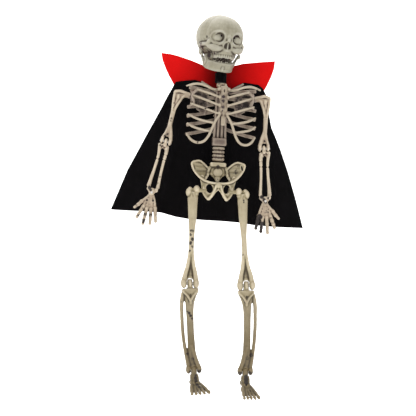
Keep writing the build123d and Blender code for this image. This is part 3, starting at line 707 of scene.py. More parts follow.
handStains = {-1: [(9.6, -0.8, -26, 2.2, 0.8), (2.6, -0.8, -24, 3.4, 0.72), (3, -0.8, -31, 3.2, 1.0),
                   (-2.6, -0.8, -24, 3.0, 0.72), (-8, -0.8, -22, 2.6, 0.75), (13, -0.6, -16, 2.4, 0.8),
                   (3.6, -1.4, -8.8, 1.6, 0.95), (-3.0, -1.4, -8.2, 1.6, 0.95), (6, -1, -18, 2, 0.7)],
              1: [(-5.6, -0.6, -17, 3.4, 1.3), (-6.8, -0.6, -21, 3.6, 1.3), (-7.8, -0.6, -25, 3.4, 1.3),
                  (-8.4, -0.6, -28, 3.2, 1.3), (-2.7, -0.6, -24.5, 3.2, 1.2), (-2.9, -0.6, -29, 3.2, 1.3),
                  (-3.1, -0.6, -32, 3.2, 1.3), (1.4, -1.2, -11, 2.4, 0.8), (6.6, -0.6, -17.6, 1.8, 0.7),
                  (9.6, -0.5, -12, 1.8, 0.7)]}
makePair(handBones(), "hand", "hand_bones", "bone_plastic", "hand", "hand", handStains, spread=9)


# rib cage
chest = {"grain": 0.5, "rib": 1.42, "strip": (0.75, 1.7),
         "ovals": [(-74, 29, 15), (-98, 33.5, 19.5), (-120, 36, 21.5), (-141, 37, 21)],
         "ribs": [[(4.4, -88.6), (16, -84.6), (27, -80.4)], [(4.4, -97.3), (17, -92.6), (31, -86.6)],
                  [(4.4, -106.3), (18, -101.6), (33.4, -95.4)],
                  [(9.8, -116.0), (18, -114.6), (28, -111.4), (35.6, -107.0)],
                  [(13.2, -125.0), (22, -123.2), (30, -120.6), (36, -116.6)]],
         "margin": [(2.8, -106.0), (8.0, -114), (12.0, -124), (14.6, -130), (19, -135.4),
                    (25, -137), (31.6, -134), (36, -128)],
         "collarBone": [(3.6, -8.6, -80.2), (12, -11.5, -80.0), (19, -12, -77.2),
                        (27, -10.5, -75.4), (34, -8, -76.2), (39, -6, -77.6)]}


def chestDepth(x, z, inset=1.8):
    # how far the rib cage stands out in front of its middle at x, z
    ovals = chest["ovals"]
    for (top, wideTop, deepTop), (low, wideLow, deepLow) in zip(ovals, ovals[1:]):
        if z >= low or low == ovals[-1][0]:
            share = (top - z) / (top - low)
            wide = wideTop + share * (wideLow - wideTop) - inset
            deep = deepTop + share * (deepLow - deepTop) - inset
            return deep * sqrt(max(0.02, 1 - min(1, (x / wide) ** 2)))


def frontRibs():
    solids = [column([(0, -13.2, -76.2, 3.4, 2.2), (0, -13.6, -78.5, 4.4, 2.6),
                      (0, -14.4, -83, 3.2, 2.3), (0, -15.2, -88, 4.1, 2.3),
                      (0, -16.6, -96, 3.9, 2.4), (0, -17.6, -102.4, 3.9, 2.4),
                      (0, -17.8, -106.6, 2.7, 2.2)]),
              column([(0, -17.8, -105.6, 2.2, 1.6), (0, -18.4, -112, 2.4, 1.4),
                      (0, -18.6, -118.2, 2.3, 1.3)], sides=10),
              ball(4.6, -13.6, -79.8, 2.4, 2.0, 1.9), ball(-4.6, -13.6, -79.8, 2.4, 2.0, 1.9)]
    for way in (-1, 1):
        for rib in chest["ribs"]:
            path = [(way * x, -chestDepth(x, z), z) for x, z in rib]
            solids.append(strand(path, [1.3] + [chest["rib"]] * (len(path) - 2) + [1.15]))
        rim = [(way * x, -chestDepth(x, z), z) for x, z in chest["margin"]]
        solids.append(strand(rim, [1.3, 1.4, 1.45, 1.45, 1.45, 1.5, 1.5, 1.2]))
        solids.append(strand([(way * x, y, z) for x, y, z in chest["collarBone"]],
                             [1.6, 1.4, 1.45, 1.5, 1.4, 1.0]))
        for z in (-88.6, -97.3, -106.0):
            solids.append(ball(way * 3.9, -chestDepth(4, z) + 0.2, z, 1.7, 1.9, 2.2))
    hollows = [brick(0, -20.6, -97, 0.7, 5, 12), ball(0, -16.4, -81.6, 0.9, 1.2, 2.2)]
    piece = fuse("rib_cage_front", solids, chest["grain"], hollows, soften=3)
    spots = [(-0.8, -17.4, -88, 3.2, 1.05), (-1.0, -18, -92.5, 3.2, 1.05), (-0.8, -19, -99, 3.2, 0.9),
             (-1.2, -19.4, -103, 1.8, 0.8), (-2, -14, -83, 1.6, 0.8), (-12, -15, -80, 2.4, 0.95),
             (-8, -13, -81, 2.6, 0.95), (-18.4, -16, -90.6, 1.8, 0.95), (-19, -16, -101.4, 2.0, 1.0),
             (12.4, -17, -124, 2.6, 1.0), (13.6, -17, -128, 2.6, 1.0), (-27.4, -9, -121.6, 2.0, 0.95),
             (-25, -14, -137, 2.8, 0.95), (9.6, -18, -116, 1.4, 0.8), (-32, -8, -78, 3.2, 0.7),
             (36, -8, -78, 2.4, 0.7)]
    finishBone(piece, "bone_plastic", "torso", ["ribcage_front"], spots, look="rib_plastic")


def backRibs():
    solids = [brick(0, 15.4, -108.5, 12, 7, 58, rounding=0.2),
              brick(0, 14, -133.6, 14.6, 14.6, 8.2, rounding=0.12)]
    for x in (-5.4, -1.9, 1.9, 5.4):
        solids.append(strand([(x, 11.6, -80.6), (x, 11.4, -104),
                              (x * 1.1, 10.2, -128), (x * 1.15, 8.0, -136)],
                             [1.25, 1.25, 1.4, 1.4]))
    for z in range(-128, -78, 6):
        solids += [ball(0, 19.4, z, 1.5, 2.6, 2.2), ball(-5.2, 18, z - 1, 2.6, 1.8, 1.5),
                   ball(5.2, 18, z - 1, 2.6, 1.8, 1.5)]
    wide, thin = chest["strip"][1], chest["strip"][0]
    backs = [[(4, -80), (36, -78)], [(4, -86), (37, -88)], [(4, -92.5), (37, -99)],
             [(4, -100), (37, -108.5)], [(4, -109), (37, -118)], [(4, -118), (37, -128)]]
    for way in (-1, 1):
        for (x0, z0), (x1, z1) in backs:
            path = []
            for share in (0, 0.25, 0.5, 0.72, 0.88, 1):
                x, z = x0 + share * (x1 - x0), z0 + share * (z1 - z0)
                path.append((way * x, max(chestDepth(x, z, 2.4), 3.0), z))
            solids.append(strand(path, [thin] * 6, blade=wide))
        # shoulder blade, its ridge, and the bracket that holds the arm
        blade = plate([(way * 13.5, -83), (way * 26, -78.5), (way * 32, -81), (way * 33, -90),
                       (way * 26, -100), (way * 17, -105.5), (way * 14.2, -96)], 14.4, 1.6)
        solids += [blade,
                   strand([(way * 14, 15.6, -86.5), (way * 24, 15.4, -82), (way * 33, 11, -80.6)],
                          [1.1, 1.4, 1.7]),
                   strand([(way * 22, 9, -70.6), (way * 15, 10.4, -74.4), (way * 6, 12, -79.6)],
                          [1.2, 1.3, 1.3]),
                   strand([(way * 32.4, 11, -80.4), (way * 32.6, 5, -82), (way * 32.5, -0.5, -84)],
                          [1.8, 1.7, 1.5]),
                   strand([(way * 27, -3.6, -80), (way * 32.4, -1.6, -87), (way * 30.4, -2.6, -94),
                           (way * 33.6, 1, -97.4), (way * 33.6, 10, -98)], [1.5, 1.7, 1.5, 1.4, 1.3]),
                   ball(way * 32.5, 5.4, -87.6, 1.75, 6.4, 6.2)]
    hollows = [brick(0, 14, -133.6, 6.3, 6.3, 12, rounding=0.2)]
    hollows += [strand([(x, 10.0, -84), (x, 9.6, -104), (x * 1.06, 8.4, -124)], [0.4, 0.8, 0.6])
                for x in (-3.6, 0, 3.6)]
    piece = fuse("rib_cage_back", solids, chest["grain"], hollows, soften=3)
    # darker shoulder blades behind the ribs: wash and painted shade
    spots = [(way * x, 12.4, z, 9, 0.86) for way in (-1, 1)
             for x, z in ((19, -88), (26, -86), (20, -96), (27, -94))]
    spots += [(0, 8, -118, 5, 0.6), (-3, 8, -108, 4, 0.7), (3, 8, -126, 3.4, 0.66), (0, 10, -90, 6, 0.8)]
    finishBone(piece, "bone_plastic", "torso", ["ribcage_back"], spots, look="back_bone_plastic")


def neckBlock():
    solids = [column([(-1.2, 3.6, -71.7, 5.2, 5.2), (-1.2, 3.4, -73.4, 5.7, 5.8),
                      (-1.2, 3.4, -75.4, 5.4, 5.6), (-1.0, 2.6, -76.2, 4.6, 5.0),
                      (-1.0, 2.4, -77.4, 5.2, 5.4), (-0.6, 2, -79.8, 4.2, 5.2)]),
              strand([(-0.4, -2, -77.5), (0, -7, -78.5), (0, -10.2, -79)], [2.4, 2.0, 1.8]),
              strand([(0, 6, -78.4), (0, 10.4, -79)], [3.0, 2.6]),
              ball(-4.4, -1.4, -74.4, 1.3, 1.6, 2.4), ball(2.4, -1.6, -74.4, 1.3, 1.6, 2.4)]
    hollows = [column([(-2.5, 5, -68, 3.2, 3.2), (-2.5, 5, -79, 3.2, 3.2)]),
               ball(-1.0, -3.0, -74.2, 1.6, 1.4, 1.6)]
    piece = fuse("neck_block", solids, 0.4, hollows, soften=3)
    finishBone(piece, "bone_plastic", "torso", ["neck_socket"], [(-5, -2, -73, 2.0, 0.8)])


frontRibs()
backRibs()
neckBlock()
print("rib cage done")


# waist and pelvis
waist = {"rings": (-140.4, -144.4, -148.4, -152.2), "y": 14}


def lumbarBones():
    y = waist["y"]
    solids = [column([(0, y, -138.6, 5.0, 4.9), (0, y, -154.2, 5.1, 4.9)])]
    for z in waist["rings"]:
        solids.append(column([(0, y, z + 1.6, 5.7, 5.5), (0, y, z + 1.0, 6.6, 6.3),
                              (0, y, z - 0.6, 6.6, 6.3), (0, y, z - 1.4, 5.7, 5.5)]))
        solids.append(ball(0, y + 6.6, z, 1.2, 2.0, 1.4))
    solids.append(column([(0, y, -132, 2.6, 2.6), (0, y, -139, 2.6, 2.6)]))
    piece = fuse("lumbar_bones", solids, 0.42, soften=3)
    finishBone(piece, "leg_bone_plastic", "pelvis", ["lumbar_spine"],
               [(x, 8, z, 3.4, 0.72) for z in (-142.4, -146.4, -150.3) for x in (-3.5, 0, 3.5)],
               look="rib_plastic")


hip = {"grain": 0.46,
       "blade": [(8.2, -164.5), (12.6, -160.2), (16.6, -157), (20.2, -155), (24.4, -155.4),
                 (28, -157.4), (27.4, -161.6), (25, -166.4), (22, -170.2), (17.6, -174),
                 (13.4, -175.4), (11.6, -172.4), (9.8, -170)],
       "front": [(0, -177.5), (8, -177), (15, -174), (18.6, -171.8), (17.6, -178), (16.6, -184.4),
                 (14.6, -189.6), (12.0, -194.2), (9.2, -196.0), (5.8, -193.4), (2.6, -188.2), (0, -185.4)],
       "rim": [(9.4, 11.6, -163.2), (12.6, 12.2, -160.0), (16.4, 11.8, -156.8), (20.2, 10.8, -154.8),
               (24.4, 9.4, -155.4), (28.2, 7.8, -157.4), (27.6, 7.0, -161.6), (25.2, 6.0, -166.4),
               (22.2, 4.0, -170.2), (17.8, 0.6, -174.0), (12.6, -3.2, -176.8), (6.0, -5.8, -178.2),
               (0, -6.4, -178.5)],
       "rimRadii": [1.1, 1.1, 1.15, 1.2, 1.2, 1.25, 1.2, 1.15, 1.2, 1.25, 1.25, 1.25, 1.3]}


def lean(piece, rule):
    # moves a flat plate forwards or back by a rule of its distance from the middle and its height
    points = readPoints(piece.data) / mm
    points[:, 1] += rule(np.abs(points[:, 0]), points[:, 2])
    piece.data.vertices.foreach_set("co", (points * mm).ravel())
    return piece


def bladeLean(aside, z):
    return (13.4 - 0.30 * np.clip(aside - 9, 0, 40) - 0.55 * np.clip(-166 - z, 0, 40)
            + 1.6 * np.sin(np.clip((aside - 9) / 19, 0, 1) * pi))


def frontLean(aside, z):
    return -6.0 + 0.46 * aside


def pelvisBones():
    solids = [brick(0, 13.2, -157.9, 17.2, 11.2, 4.8, rounding=0.34),
              column([(0, 14.0, -159.4, 8.0, 4.6), (0, 13.6, -164, 8.6, 4.8),
                      (0, 13.2, -168.6, 8.4, 4.6), (0, 12.6, -171.0, 5.4, 4.0),
                      (0, 12.0, -173.6, 3.0, 3.0), (0, 11.6, -176.0, 1.9, 1.9)]),
              ball(0, 8.8, -166.6, 5.0, 3.2, 4.6), ball(0, 9.6, -172.2, 2.9, 2.4, 2.8),
              ball(0, -6.0, -180.6, 3.7, 2.4, 3.6)]
    hollows = [ball(25.6, 7.4, -160.6, 0.95, 6, 3.1, (0, -14, 0)),
               strand([(-4.6, 8.0, -161.0), (0, 7.4, -161.2), (4.6, 8.0, -161.0)], [0.7, 1.2, 0.7])]
    for way in (-1, 1):
        blade = plate([(way * x, z) for x, z in hip["blade"]], 0, 1.7)
        front = plate([(way * x, z) for x, z in hip["front"]], 0, 2.3)
        solids += [lean(blade, bladeLean), lean(front, frontLean),
                   strand([(way * x, y, z) for x, y, z in hip["rim"]], hip["rimRadii"]),
                   strand([(way * 8.4, 12.6, -161.4), (way * 10.0, 12.2, -165),
                           (way * 10.8, 11.4, -169.4), (way * 12.8, 8.4, -173.4)], [1.9, 1.7, 1.8, 1.3]),
                   ball(way * 10.4, 9.9, -169.2, 1.4, 1.3, 1.7),
                   strand([(way * 17.8, 2.6, -174), (way * 16.6, 2.0, -180), (way * 15.6, 1.4, -186.4),
                           (way * 12.6, -0.2, -192.4), (way * 9.8, -1.6, -195.0)],
                          [1.7, 1.4, 1.5, 1.6, 1.8]),
                   strand([(way * 2.2, -6.4, -181.4), (way * 4.0, -5.4, -186.4),
                           (way * 6.6, -3.8, -191.4), (way * 9.0, -2.2, -194.8)], [1.7, 1.5, 1.5, 1.8]),
                   strand([(way * 17.2, 4.4, -172), (way * 15.6, 8, -178), (way * 13.0, 6.6, -187),
                           (way * 10.4, 1.6, -194.4)], [2.2, 1.9, 1.7, 1.7]),
                   ball(way * 15.0, 3.4, -185.0, 2.0, 5.0, 5.6)]
        hollows.append(ball(way * 9.2, -3.0, -184.2, 3.7, 7.5, 4.9, (0, way * 14, 0)))
    piece = fuse("pelvis_bone", solids, hip["grain"], hollows, soften=3)
    spots = [(0, 8, -161, 4.2, 0.85), (0, 8.2, -173.4, 1.6, 0.8), (-6.5, 9, -161, 2.2, 0.7),
             (14.4, 3, -186, 3.4, 0.8), (12.6, 0, -191.8, 2.6, 0.8), (-14.4, 3, -186, 3.4, 0.75),
             (19, 9, -164.6, 5.4, 0.66), (21.6, 9, -158, 4.0, 0.72), (6.4, 9, -160.6, 2.0, 0.66),
             (-13, 10, -171, 3.0, 0.6), (12, 10, -174, 3.0, 0.7), (16.6, 1, -175, 2.6, 0.6)]
    finishBone(piece, "leg_bone_plastic", "pelvis", ["pelvis"], spots)


lumbarBones()
pelvisBones()
print("pelvis done")


# skull and jaw
# head spots: those in the mouth, the eye holes, the nose opening and at the top of the right eye socket are
# painted shade, the rest stains; the three large jaw spots darken the inside of the mouth as painted shade
head = {"grain": 0.46, "centre": (-4.6, 5, -23), "tilt": 3, "turn": 13, "jawDrop": 11, "jawAskew": 0.11,
        "stainsAndShade": [(-21.9, -7.8, 2.6, 2.0, 0.9), (-21.2, -8.4, -4.4, 2.2, 0.8),
                   (-18.0, -18.4, -0.6, 1.6, 0.75),
                   (-18.3, -12.8, 7.2, 1.8, 0.62), (-23.2, -3, -9.4, 2.6, 0.75), (-22, -2, -15, 6.4, 1.05),
                   (-22.6, -6, -10, 4.0, 0.85),
                   (-16, -7, -21, 7.5, 1.25), (16, -7, -21, 7.5, 1.25), (0, -5, -27, 16, 1.3),
                   (-11.8, -17, -20.4, 3.6, 0.9), (12, -17, -20.4, 3.4, 1.0), (7.2, -23, -1.8, 2.6, 0.8),
                   (-7.0, -22.6, -2.0, 1.9, 1.2), (7.2, -22.6, -2.0, 2.2, 1.2), (9.8, -23.4, 0.6, 3.8, 0.95),
                   (13.4, -21.4, 0.2, 3.0, 0.75), (-2.4, -26, -13.2, 2.0, 0.9), (2.4, -26, -13.2, 2.4, 0.95),
                   (8.8, -24, -23.4, 3.4, 1.15), (5.6, -25, -22.6, 1.8, 0.7), (20.4, -12.4, 4, 2.6, 0.6),
                   (-9.0, -25.6, -13.4, 1.3, 0.95), (21.2, -8, -4, 4.0, 0.7)],
        "jawStainsAndShade": [(-19, -3, -5, 2.6, 0.8), (-14.6, -7, -12.4, 3.0, 0.6), (19, -3, -5, 3.4, 0.95),
                      (15.2, -6, -11, 4.4, 0.8), (-13, -15, -8.8, 1.8, 0.8), (12, -16, -9.4, 2.8, 0.95),
                      (0, -12, -12, 6, 1.0), (6, -8, -12, 6, 1.0), (-6, -8, -12, 6, 1.0)]}
headPlace = (Matrix.Translation(head["centre"]) @ Matrix.Rotation(radians(head["tilt"]), 4, "Y")
             @ Matrix.Rotation(radians(head["turn"]), 4, "Z"))


def toothRow(z, tall, count, step, wide, deep, back, grow=0.1, size=1.0):
    # one tooth, copied round the arch of the jaw
    tooth = column([(0, 0, 0, 0.8 * size, 1.2), (0, 0, tall * 0.35, 1.0 * size, 1.2),
                    (0, 0, tall * 0.85, 1.0 * size, 0.9), (0, 0, tall, 0.6 * size, 0.5)], sides=12)
    if tall < 0:
        tooth.data.flip_normals()
    row = []
    for i in range(count):
        angle = radians((i - (count - 1) / 2) * step)
        copy = tooth.copy()
        copy.data = tooth.data.copy()
        bpy.context.scene.collection.objects.link(copy)
        stretch = 1 + grow * (1 if i % 3 else -1)
        place = Matrix.Translation((wide * sin(angle), back - deep * cos(angle), z))
        seat(copy, scaled(place @ Matrix.Rotation(angle, 4, "Z")) @ Matrix.Diagonal((1, 1, stretch, 1)))
        row.append(copy)
    bpy.data.objects.remove(tooth)
    return row


def headStainsAndShade(place, spots):
    return [(*(place @ Vector(spot[:3])), *spot[3:]) for spot in spots]


def skullBone():
    solids = [ball(-0.9, 3.8, 0.9, 24.8, 27.4, 23.6), ball(0, -6.4, 0.6, 21.8, 22.4, 21.2),
              ball(-0.6, 11, 2, 23.4, 18.4, 20),
              column([(0, -13.2, 7, 18.6, 13.6), (0, -13.4, 3, 19.8, 14.0), (0, -13.5, -3, 19.6, 14.0),
                      (0, -13.6, -9, 18.8, 13.8), (0, -13.8, -13, 16.4, 12.8), (0, -14.8, -18, 12.0, 11.0),
                      (0, -15.2, -21, 11.0, 9.8), (0, -15.4, -22.4, 10.7, 9.2),
                      (0, -15.4, -23.2, 10.0, 8.4)]),
              ball(0, -27.2, -3.6, 2.7, 2.4, 4.2), ball(0, -28.6, -7.0, 1.7, 2.4, 2.6),
              # the last ball here and the two below fill the mouth with a dark mass, which the spots darken
              # as painted shade
              ball(0, -25.0, -17.2, 3.2, 1.8, 1.6), ball(0, -2, -21.4, 13.6, 13.6, 8.6),
              ball(-11, 3, -21.6, 4.6, 8.4, 8.0), ball(11, 3, -21.6, 4.6, 8.4, 8.0)]
    for way in (-1, 1):
        solids += [strand([(way * 3.0, -26.4, -0.4), (way * 6.4, -26.7, 1.6), (way * 11.2, -24.8, 2.0),
                           (way * 15.4, -20.9, 0.2), (way * 17.2, -18.2, -4)], [1.1, 1.3, 1.4, 1.5, 1.5]),
                   strand([(way * 17.0, -18.6, -5), (way * 15.2, -21.0, -9.6), (way * 11, -23.8, -11.4),
                           (way * 6.2, -25.6, -9.8), (way * 4.4, -26.0, -5.4)], [1.6, 1.6, 1.4, 1.2, 1.1]),
                   strand([(way * 5.4, -23.8, -15.0), (way * 9.4, -23.6, -15.6), (way * 14.0, -21.4, -15.0),
                           (way * 17.2, -17.6, -13.2)], [2.2, 3.5, 3.8, 3.0]),
                   strand([(way * 18.2, -17, -11.6), (way * 21.0, -10, -10.8), (way * 22.0, -2, -10.4)],
                          [2.5, 2.0, 2.0]),
                   ball(way * 17.6, -17.6, -9.6, 3.2, 3.2, 3.6),
                   ball(way * 18.2, 7.6, -14.4, 2.8, 4.2, 5.8)]
    hollows = [strand([(0, -28.8, -9.6), (0, -28.2, -12.0), (0, -27.6, -14.2)], [1.6, 2.3, 2.8])]
    for way in (-1, 1):
        hollows += [ball(way * 10.0, -27.4, -4.4, 5.6, 7.2, 5.4, (0, way * 14, 0)),
                    ball(way * 21.4, -14.5, -4.6, 2.4, 3.4, 3.4),
                    ball(way * 2.3, -28.0, -12.6, 1.9, 4.2, 3.8, (0, way * -14, 0)),
                    strand([(way * 13.6, -25.4, -12.2), (way * 10.4, -26.2, -13.0),
                            (way * 8.0, -26.4, -13.4)],
                           [0.45, 0.8, 1.0]),
                    ball(way * 17.4, -12.4, -21.6, 4.6, 8.4, 4.0)]
    skull = fuse("skull_shell", solids, head["grain"], hollows, soften=4)
    # the shallow floor of each eye socket bulges, with a deep hole at its inner top
    eyes = [ball(way * 10.1, -21.0, -4.9, 5.2, 3.7, 5.0) for way in (-1, 1)]
    septum = strand([(0, -26.4, -9.0), (0, -26.2, -12.0), (0, -25.8, -15.8)], [0.6, 0.7, 0.9])
    teeth = toothRow(-22.2, -2.9, 15, 12.4, 10.3, 8.5, -15.6, size=0.86)
    holes = [ball(way * 7.2, -23.4, -2.4, 1.0, 3.4, 1.1) for way in (-1, 1)]
    piece = fuse("skull_bone", [skull, septum, *eyes, *teeth], 0.42, holes, soften=2)
    seat(piece, scaled(headPlace))
    finishBone(piece, "skull_plastic", "skull", ["skull_face", "skull_back"],
               headStainsAndShade(headPlace, head["stainsAndShade"]), spread=18)


def jawBone():
    place = (headPlace @ Matrix.Translation((0, -1, -17.5))
             @ Matrix.Rotation(radians(head["jawDrop"]), 4, "X"))
    askew = Matrix.Identity(4)
    askew[0][2] = head["jawAskew"]
    solids = [ball(0.2, -22.2, -14.4, 1.5, 1.2, 2.8)]
    for way in (-1, 1):
        solids += [strand([(0, -21.2, -12.9), (way * 6.4, -20.4, -12.9), (way * 10.8, -16.8, -12.4),
                           (way * 13.4, -10.4, -11.7), (way * 15.0, -4.8, -10.6)],
                          [1.4, 1.4, 1.4, 1.35, 1.3], blade=2.5),
                   strand([(0, -21.2, -15.6), (way * 6.0, -20.6, -15.8), (way * 10.0, -17.4, -15.8),
                           (way * 12.2, -10.8, -15.6), (way * 13.2, -4.6, -15.0)],
                          [1.6, 1.6, 1.55, 1.5, 1.5]),
                   strand([(way * 13.6, -4.4, -14.4), (way * 17.2, -2.0, -7.4), (way * 20.2, 0.1, -1.4)],
                          [1.7, 1.5, 1.4]),
                   strand([(way * 14.6, -7.4, -11.4), (way * 15.8, -8.2, -8.4), (way * 16.6, -8.8, -5.6)],
                          [1.8, 1.3, 0.8]),
                   ball(way * 21.6, 0, 0, 2.1, 2.6, 2.7), ball(way * 15.0, -5.6, -10.8, 1.5, 3.0, 3.2)]
    solids += toothRow(-10.2, 3.3, 13, 13.0, 10.6, 8.9, -12.0, size=0.84, grow=0.16)
    piece = fuse("jaw_bone", solids, 0.4, soften=2)
    seat(piece, scaled(place) @ askew)
    finishBone(piece, "skull_plastic", "jaw", ["jaw", "jaw_pin_left", "jaw_pin_right"],
               headStainsAndShade(place, head["jawStainsAndShade"]), spread=12)


skullBone()
jawBone()
print("head done")


# felt cape, collar and neck band
cape = {"across": 96, "down": 110, "thick": 1.1, "flat": (0.212, 0.155), "area": 0.0237,
        "top": [(-49.8, -71.1), (-44, -69.6), (-36, -68.2), (-29, -67.1), (-22, -68.6), (-14, -73.4),
                (-6, -77.5), (4, -78.5), (12, -74.4), (19, -69.4), (25, -66.9), (33, -67.8),
                (40, -68.6), (44.6, -72.0)],
        "hem": [(-112.3, -212), (-96, -212.2), (-81.5, -212), (-58.1, -212.4), (-41.9, -216.2),
                (-28.7, -217.8), (-9, -218.3), (9.8, -218.4), (28.4, -219.1), (45, -221.0),
                (61.5, -221.7), (80, -221.8), (99.4, -221.5)],
        "left": [(-49.8, -71.1), (-64.4, -101.5), (-79.1, -131.8), (-96.3, -168.0), (-112.3, -212)],
        "right": [(44.6, -72.0), (49.4, -80), (54.5, -98), (58.4, -113.9), (62.2, -121), (70, -138),
                  (79, -160.5), (89, -189), (99.4, -221.5)]}
collar = {"across": 88, "down": 34, "thick": 1.0, "flat": (0.128, 0.040), "area": 0.00385,
          "top": [(-66.8, -41.2), (-57, -41.6), (-48.2, -42.9), (-40, -44.8), (-33.8, -46.2),
                  (-25, -49.0), (-15, -52.6), (-5, -54.4), (5, -52.4), (14, -48.6), (23, -46.0),
                  (34.3, -44.6), (45, -43.4), (56.6, -42.2)],
          "hem": [(-50.4, -75.4), (-36, -77.8), (-20, -80.4), (-4, -81.6), (14, -81.6), (30, -81.2),
                  (43.4, -80.4)],
          "left": [(-66.8, -41.2), (-65.2, -48.5), (-61.8, -56.2), (-57.4, -64.6), (-50.4, -75.4)],
          "right": [(56.6, -42.2), (56.0, -50), (53.6, -58.8), (49.4, -69), (43.4, -80.4)]}


def along(line, share):
    # the point at a share of a polyline's length
    line = np.array(line, float)
    steps = np.concatenate([[0], np.cumsum(np.linalg.norm(np.diff(line, axis=0), axis=1))])
    at = np.clip(share, 0, 1) * steps[-1]
    return np.stack([np.interp(at, steps, line[:, axis]) for axis in (0, 1)], -1)


def cutCloth(name, cut, depth, shading):
    # a fine grid spread between the four cut edges, then hung at its depth
    bpy.ops.mesh.primitive_grid_add(x_subdivisions=cut["across"], y_subdivisions=cut["down"], size=1)
    piece = bpy.context.object
    piece.name = piece.data.name = name
    points = readPoints(piece.data)
    u, v = points[:, 0] + 0.5, 0.5 - points[:, 1]
    top, hem, left, right = (along(cut[key], share) for key, share in
                             (("top", u), ("hem", u), ("left", v), ("right", v)))
    corners = [np.array(cut[key][end], float) for key, end in
               (("top", 0), ("top", -1), ("hem", 0), ("hem", -1))]
    u2, v2 = u[:, None], v[:, None]
    flat = ((1 - v2) * top + v2 * hem + (1 - u2) * left + u2 * right
            - (1 - u2) * (1 - v2) * corners[0] - u2 * (1 - v2) * corners[1]
            - (1 - u2) * v2 * corners[2] - u2 * v2 * corners[3])
    x, z = flat[:, 0], flat[:, 1]
    placed = np.stack([x, depth(x, z, u, v), z], 1) * mm
    piece.data.vertices.foreach_set("co", placed.ravel())
    layer = piece.data.attributes.new("shade", "FLOAT", "POINT")
    layer.data.foreach_set("value", shading(x, z, u, v).astype(np.float32))
    piece.data.update()
    bpy.ops.object.mode_set(mode="EDIT")
    bpy.ops.mesh.select_all(action="SELECT")
    bpy.ops.mesh.flip_normals()
    bpy.ops.object.mode_set(mode="OBJECT")
    modify(piece, "SOLIDIFY", thickness=cut["thick"] * mm, offset=0)
    pick(piece)
    bpy.ops.object.shade_smooth_by_angle(angle=radians(50))
    return piece


def collarDepth(x, z, u, v):
    flare = 1 - v
    return 24.5 - 9.5 * ((x + 5) / 67) ** 2 - 1.6 * flare * np.sin(u * 5 * pi) * 0.5


def collarShade(x, z, u, v):
    beside = np.exp(-((x + 3) / 21.0) ** 2)
    under = np.clip((v - 0.55) * 1.2, 0, 1) * np.exp(-((x + 3) / 34.0) ** 2)
    return np.clip(0.95 * beside + 0.6 * under, 0, 1)


def capeDepth(x, z, u, v):
    collarLine = 24.5 - 9.5 * ((x + 5) / 67) ** 2 - 1.5
    hang = 28.2 + 2.2 * v
    tuck = np.clip((v - 0.09) / 0.10, 0, 1)
    tuck = tuck * tuck * (3 - 2 * tuck)
    fold = (2.3 * np.sin(u * 6.2 * pi + 0.6) + 1.4 * np.sin(u * 11.4 * pi + 1.9)
            + 0.7 * np.sin(u * 21 * pi + v * 3.2)) * np.clip(v - 0.08, 0, 1) ** 1.1
    return collarLine * (1 - tuck) + hang * tuck + fold


def capeShade(x, z, u, v):
    # painted shade along the top edge and over the middle of the top
    topEdgeShade = np.exp(-((v - 0.02) / 0.008) ** 2) * 0.35
    return np.clip(topEdgeShade + 0.25 * np.exp(-((u - 0.5) / 0.12) ** 2) * (v < 0.3), 0, 1)


def neckBand():
    # a strip of felt wound once round the neck, with a short overlap at the back
    bpy.ops.mesh.primitive_grid_add(x_subdivisions=90, y_subdivisions=14, size=1)
    piece = bpy.context.object
    piece.name = piece.data.name = "felt_neck_band"
    points = readPoints(piece.data)
    u, v = points[:, 0] + 0.5, 0.5 - points[:, 1]
    angle = -(u * 2 * pi * 1.08) + pi * 0.5
    radius = 5.35 + 0.5 * u + 0.22 * np.sin(angle * 5 + v * 2) + 0.35 * np.abs(v - 0.5)
    z = -60.6 - 10.0 * v + 0.3 * np.sin(angle * 2)
    placed = np.stack([-2.5 + radius * np.cos(angle), 5 + radius * np.sin(angle), z], 1) * mm
    piece.data.vertices.foreach_set("co", placed.ravel())
    layer = piece.data.attributes.new("shade", "FLOAT", "POINT")
    layer.data.foreach_set("value", np.zeros(len(u), np.float32))
    piece.data.update()
    modify(piece, "SOLIDIFY", thickness=0.8 * mm, offset=0)
    pick(piece)
    bpy.ops.object.shade_smooth_by_angle(angle=radians(50))
    paint(piece, blackFelt)
    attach(piece, "torso")
    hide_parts("cape_neckband")
    return piece


band = neckBand()
collarPiece = cutCloth("felt_collar", collar, collarDepth, collarShade)
paint(collarPiece, redFelt)
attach(collarPiece, "torso")
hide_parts("cape_collar")
capePiece = cutCloth("felt_cape", cape, capeDepth, capeShade)
paint(capePiece, blackFelt)
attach(capePiece, "torso")
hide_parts("cape_panel")
print("cape done")


# plain CAD pieces keep their shape and get a finish
for name, node in frame["nodes"].items():
    if name.startswith(("elbow_pin", "wrist_pin", "knee_pin", "ankle_pin", "neck_pin")):
        paint(node, steelLook)
    elif name.startswith("neck_post"):
        paint(node, darkLook)
    elif name.startswith("hip_pin"):
        paint(node, boneLooks["leg_bone_plastic"])
    elif name.startswith("shoulder_pin"):
        paint(node, boneLooks["bone_plastic"])

# studio, lights and camera
studio = {"floorZ": -0.52, "wall": 1.6, "half": 6.0,
          "aim": (-0.0094, 0.0, -0.2048), "away": 1.0, "side": 5.0, "roll": 3.0, "lens": 81.6,
          "wallHeight": 4.0, "paperGlow": 0.5, "skyGlow": 0.22,
          "lights": {"key": (8.4, 0.7, (-0.7, -1.3, 0.75), (0, 0, -0.15)),
                     "fill": (1.45, 1.2, (1.1, -1.2, 0.1), (0, 0, -0.2)),
                     "back_wash": (52, 2.5, (0, 0.6, 1.6), (0, 1.5, -0.2))}}


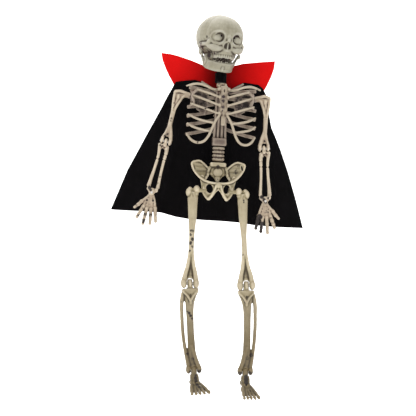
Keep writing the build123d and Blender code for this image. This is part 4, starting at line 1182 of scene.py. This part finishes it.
def makeStudio():
    bpy.ops.mesh.primitive_plane_add(
        size=2 * studio["half"], location=(0, studio["wall"] - studio["half"], studio["floorZ"]))
    floor = bpy.context.object
    pick(floor)
    bpy.ops.object.mode_set(mode="EDIT")
    bpy.ops.mesh.select_mode(type="EDGE")
    bpy.ops.mesh.select_all(action="SELECT")
    bpy.ops.mesh.extrude_edges_move(TRANSFORM_OT_translate={"value": (0, 0, studio["wallHeight"])})
    bpy.ops.object.mode_set(mode="OBJECT")
    applyPlace(floor)
    modify(floor, "BEVEL", width=0.8, segments=12, limit_method="ANGLE")
    bpy.ops.object.shade_smooth()
    floor.name = floor.data.name = "studio_sweep"
    material, wire, feed = newMaterial("studio_paper", Roughness=0.9, Specular_IOR_Level=0.1,
                                       Emission_Strength=studio["paperGlow"])
    place = wire.node("TexCoord", output=3)
    grain = wire.node("TexNoise", Vector=place, Scale=300.0, Detail=2.0)
    feed("Base Color", grain.blend(rgba(0.90, 0.90, 0.90), rgba(0.93, 0.93, 0.93)))
    feed("Emission Color", grain.blend(rgba(0.98, 0.98, 0.98), rgba(1.0, 1.0, 1.0)))
    paint(floor, material)


def makeLight(name, power, size, place, aim):
    light = bpy.data.lights.new(name, "AREA")
    light.energy, light.size = power, size
    lamp = bpy.data.objects.new(name, light)
    bpy.context.scene.collection.objects.link(lamp)
    lamp.location = place
    lamp.rotation_euler = (Vector(aim) - Vector(place)).to_track_quat("-Z", "Y").to_euler()


def makeCamera():
    aside, roll = radians(studio["side"]), radians(studio["roll"])
    ahead = Vector((sin(aside), cos(aside), 0))
    across = Vector((cos(aside), -sin(aside), 0))
    right = cos(roll) * across + sin(roll) * Vector((0, 0, 1))
    up = cos(roll) * Vector((0, 0, 1)) - sin(roll) * across
    data = bpy.data.cameras.new("camera")
    data.lens, data.sensor_width = studio["lens"], 36
    data.clip_start, data.clip_end = 0.05, 30
    camera = bpy.data.objects.new("camera", data)
    bpy.context.scene.collection.objects.link(camera)
    turn = Matrix((right, up, -ahead)).transposed().to_4x4()
    camera.matrix_world = Matrix.Translation(Vector(studio["aim"]) - studio["away"] * ahead) @ turn
    bpy.context.scene.camera = camera


makeStudio()
for name, (power, size, place, aim) in studio["lights"].items():
    makeLight(name, power, size, place, aim)
world = bpy.data.worlds.new("studio")
bpy.context.scene.world = world
world.use_nodes = True
world.node_tree.nodes["Background"].inputs["Color"].default_value = (1, 1, 1, 1)
world.node_tree.nodes["Background"].inputs["Strength"].default_value = studio["skyGlow"]
bpy.context.scene.view_settings.view_transform = "Standard"
makeCamera()
print("studio done")
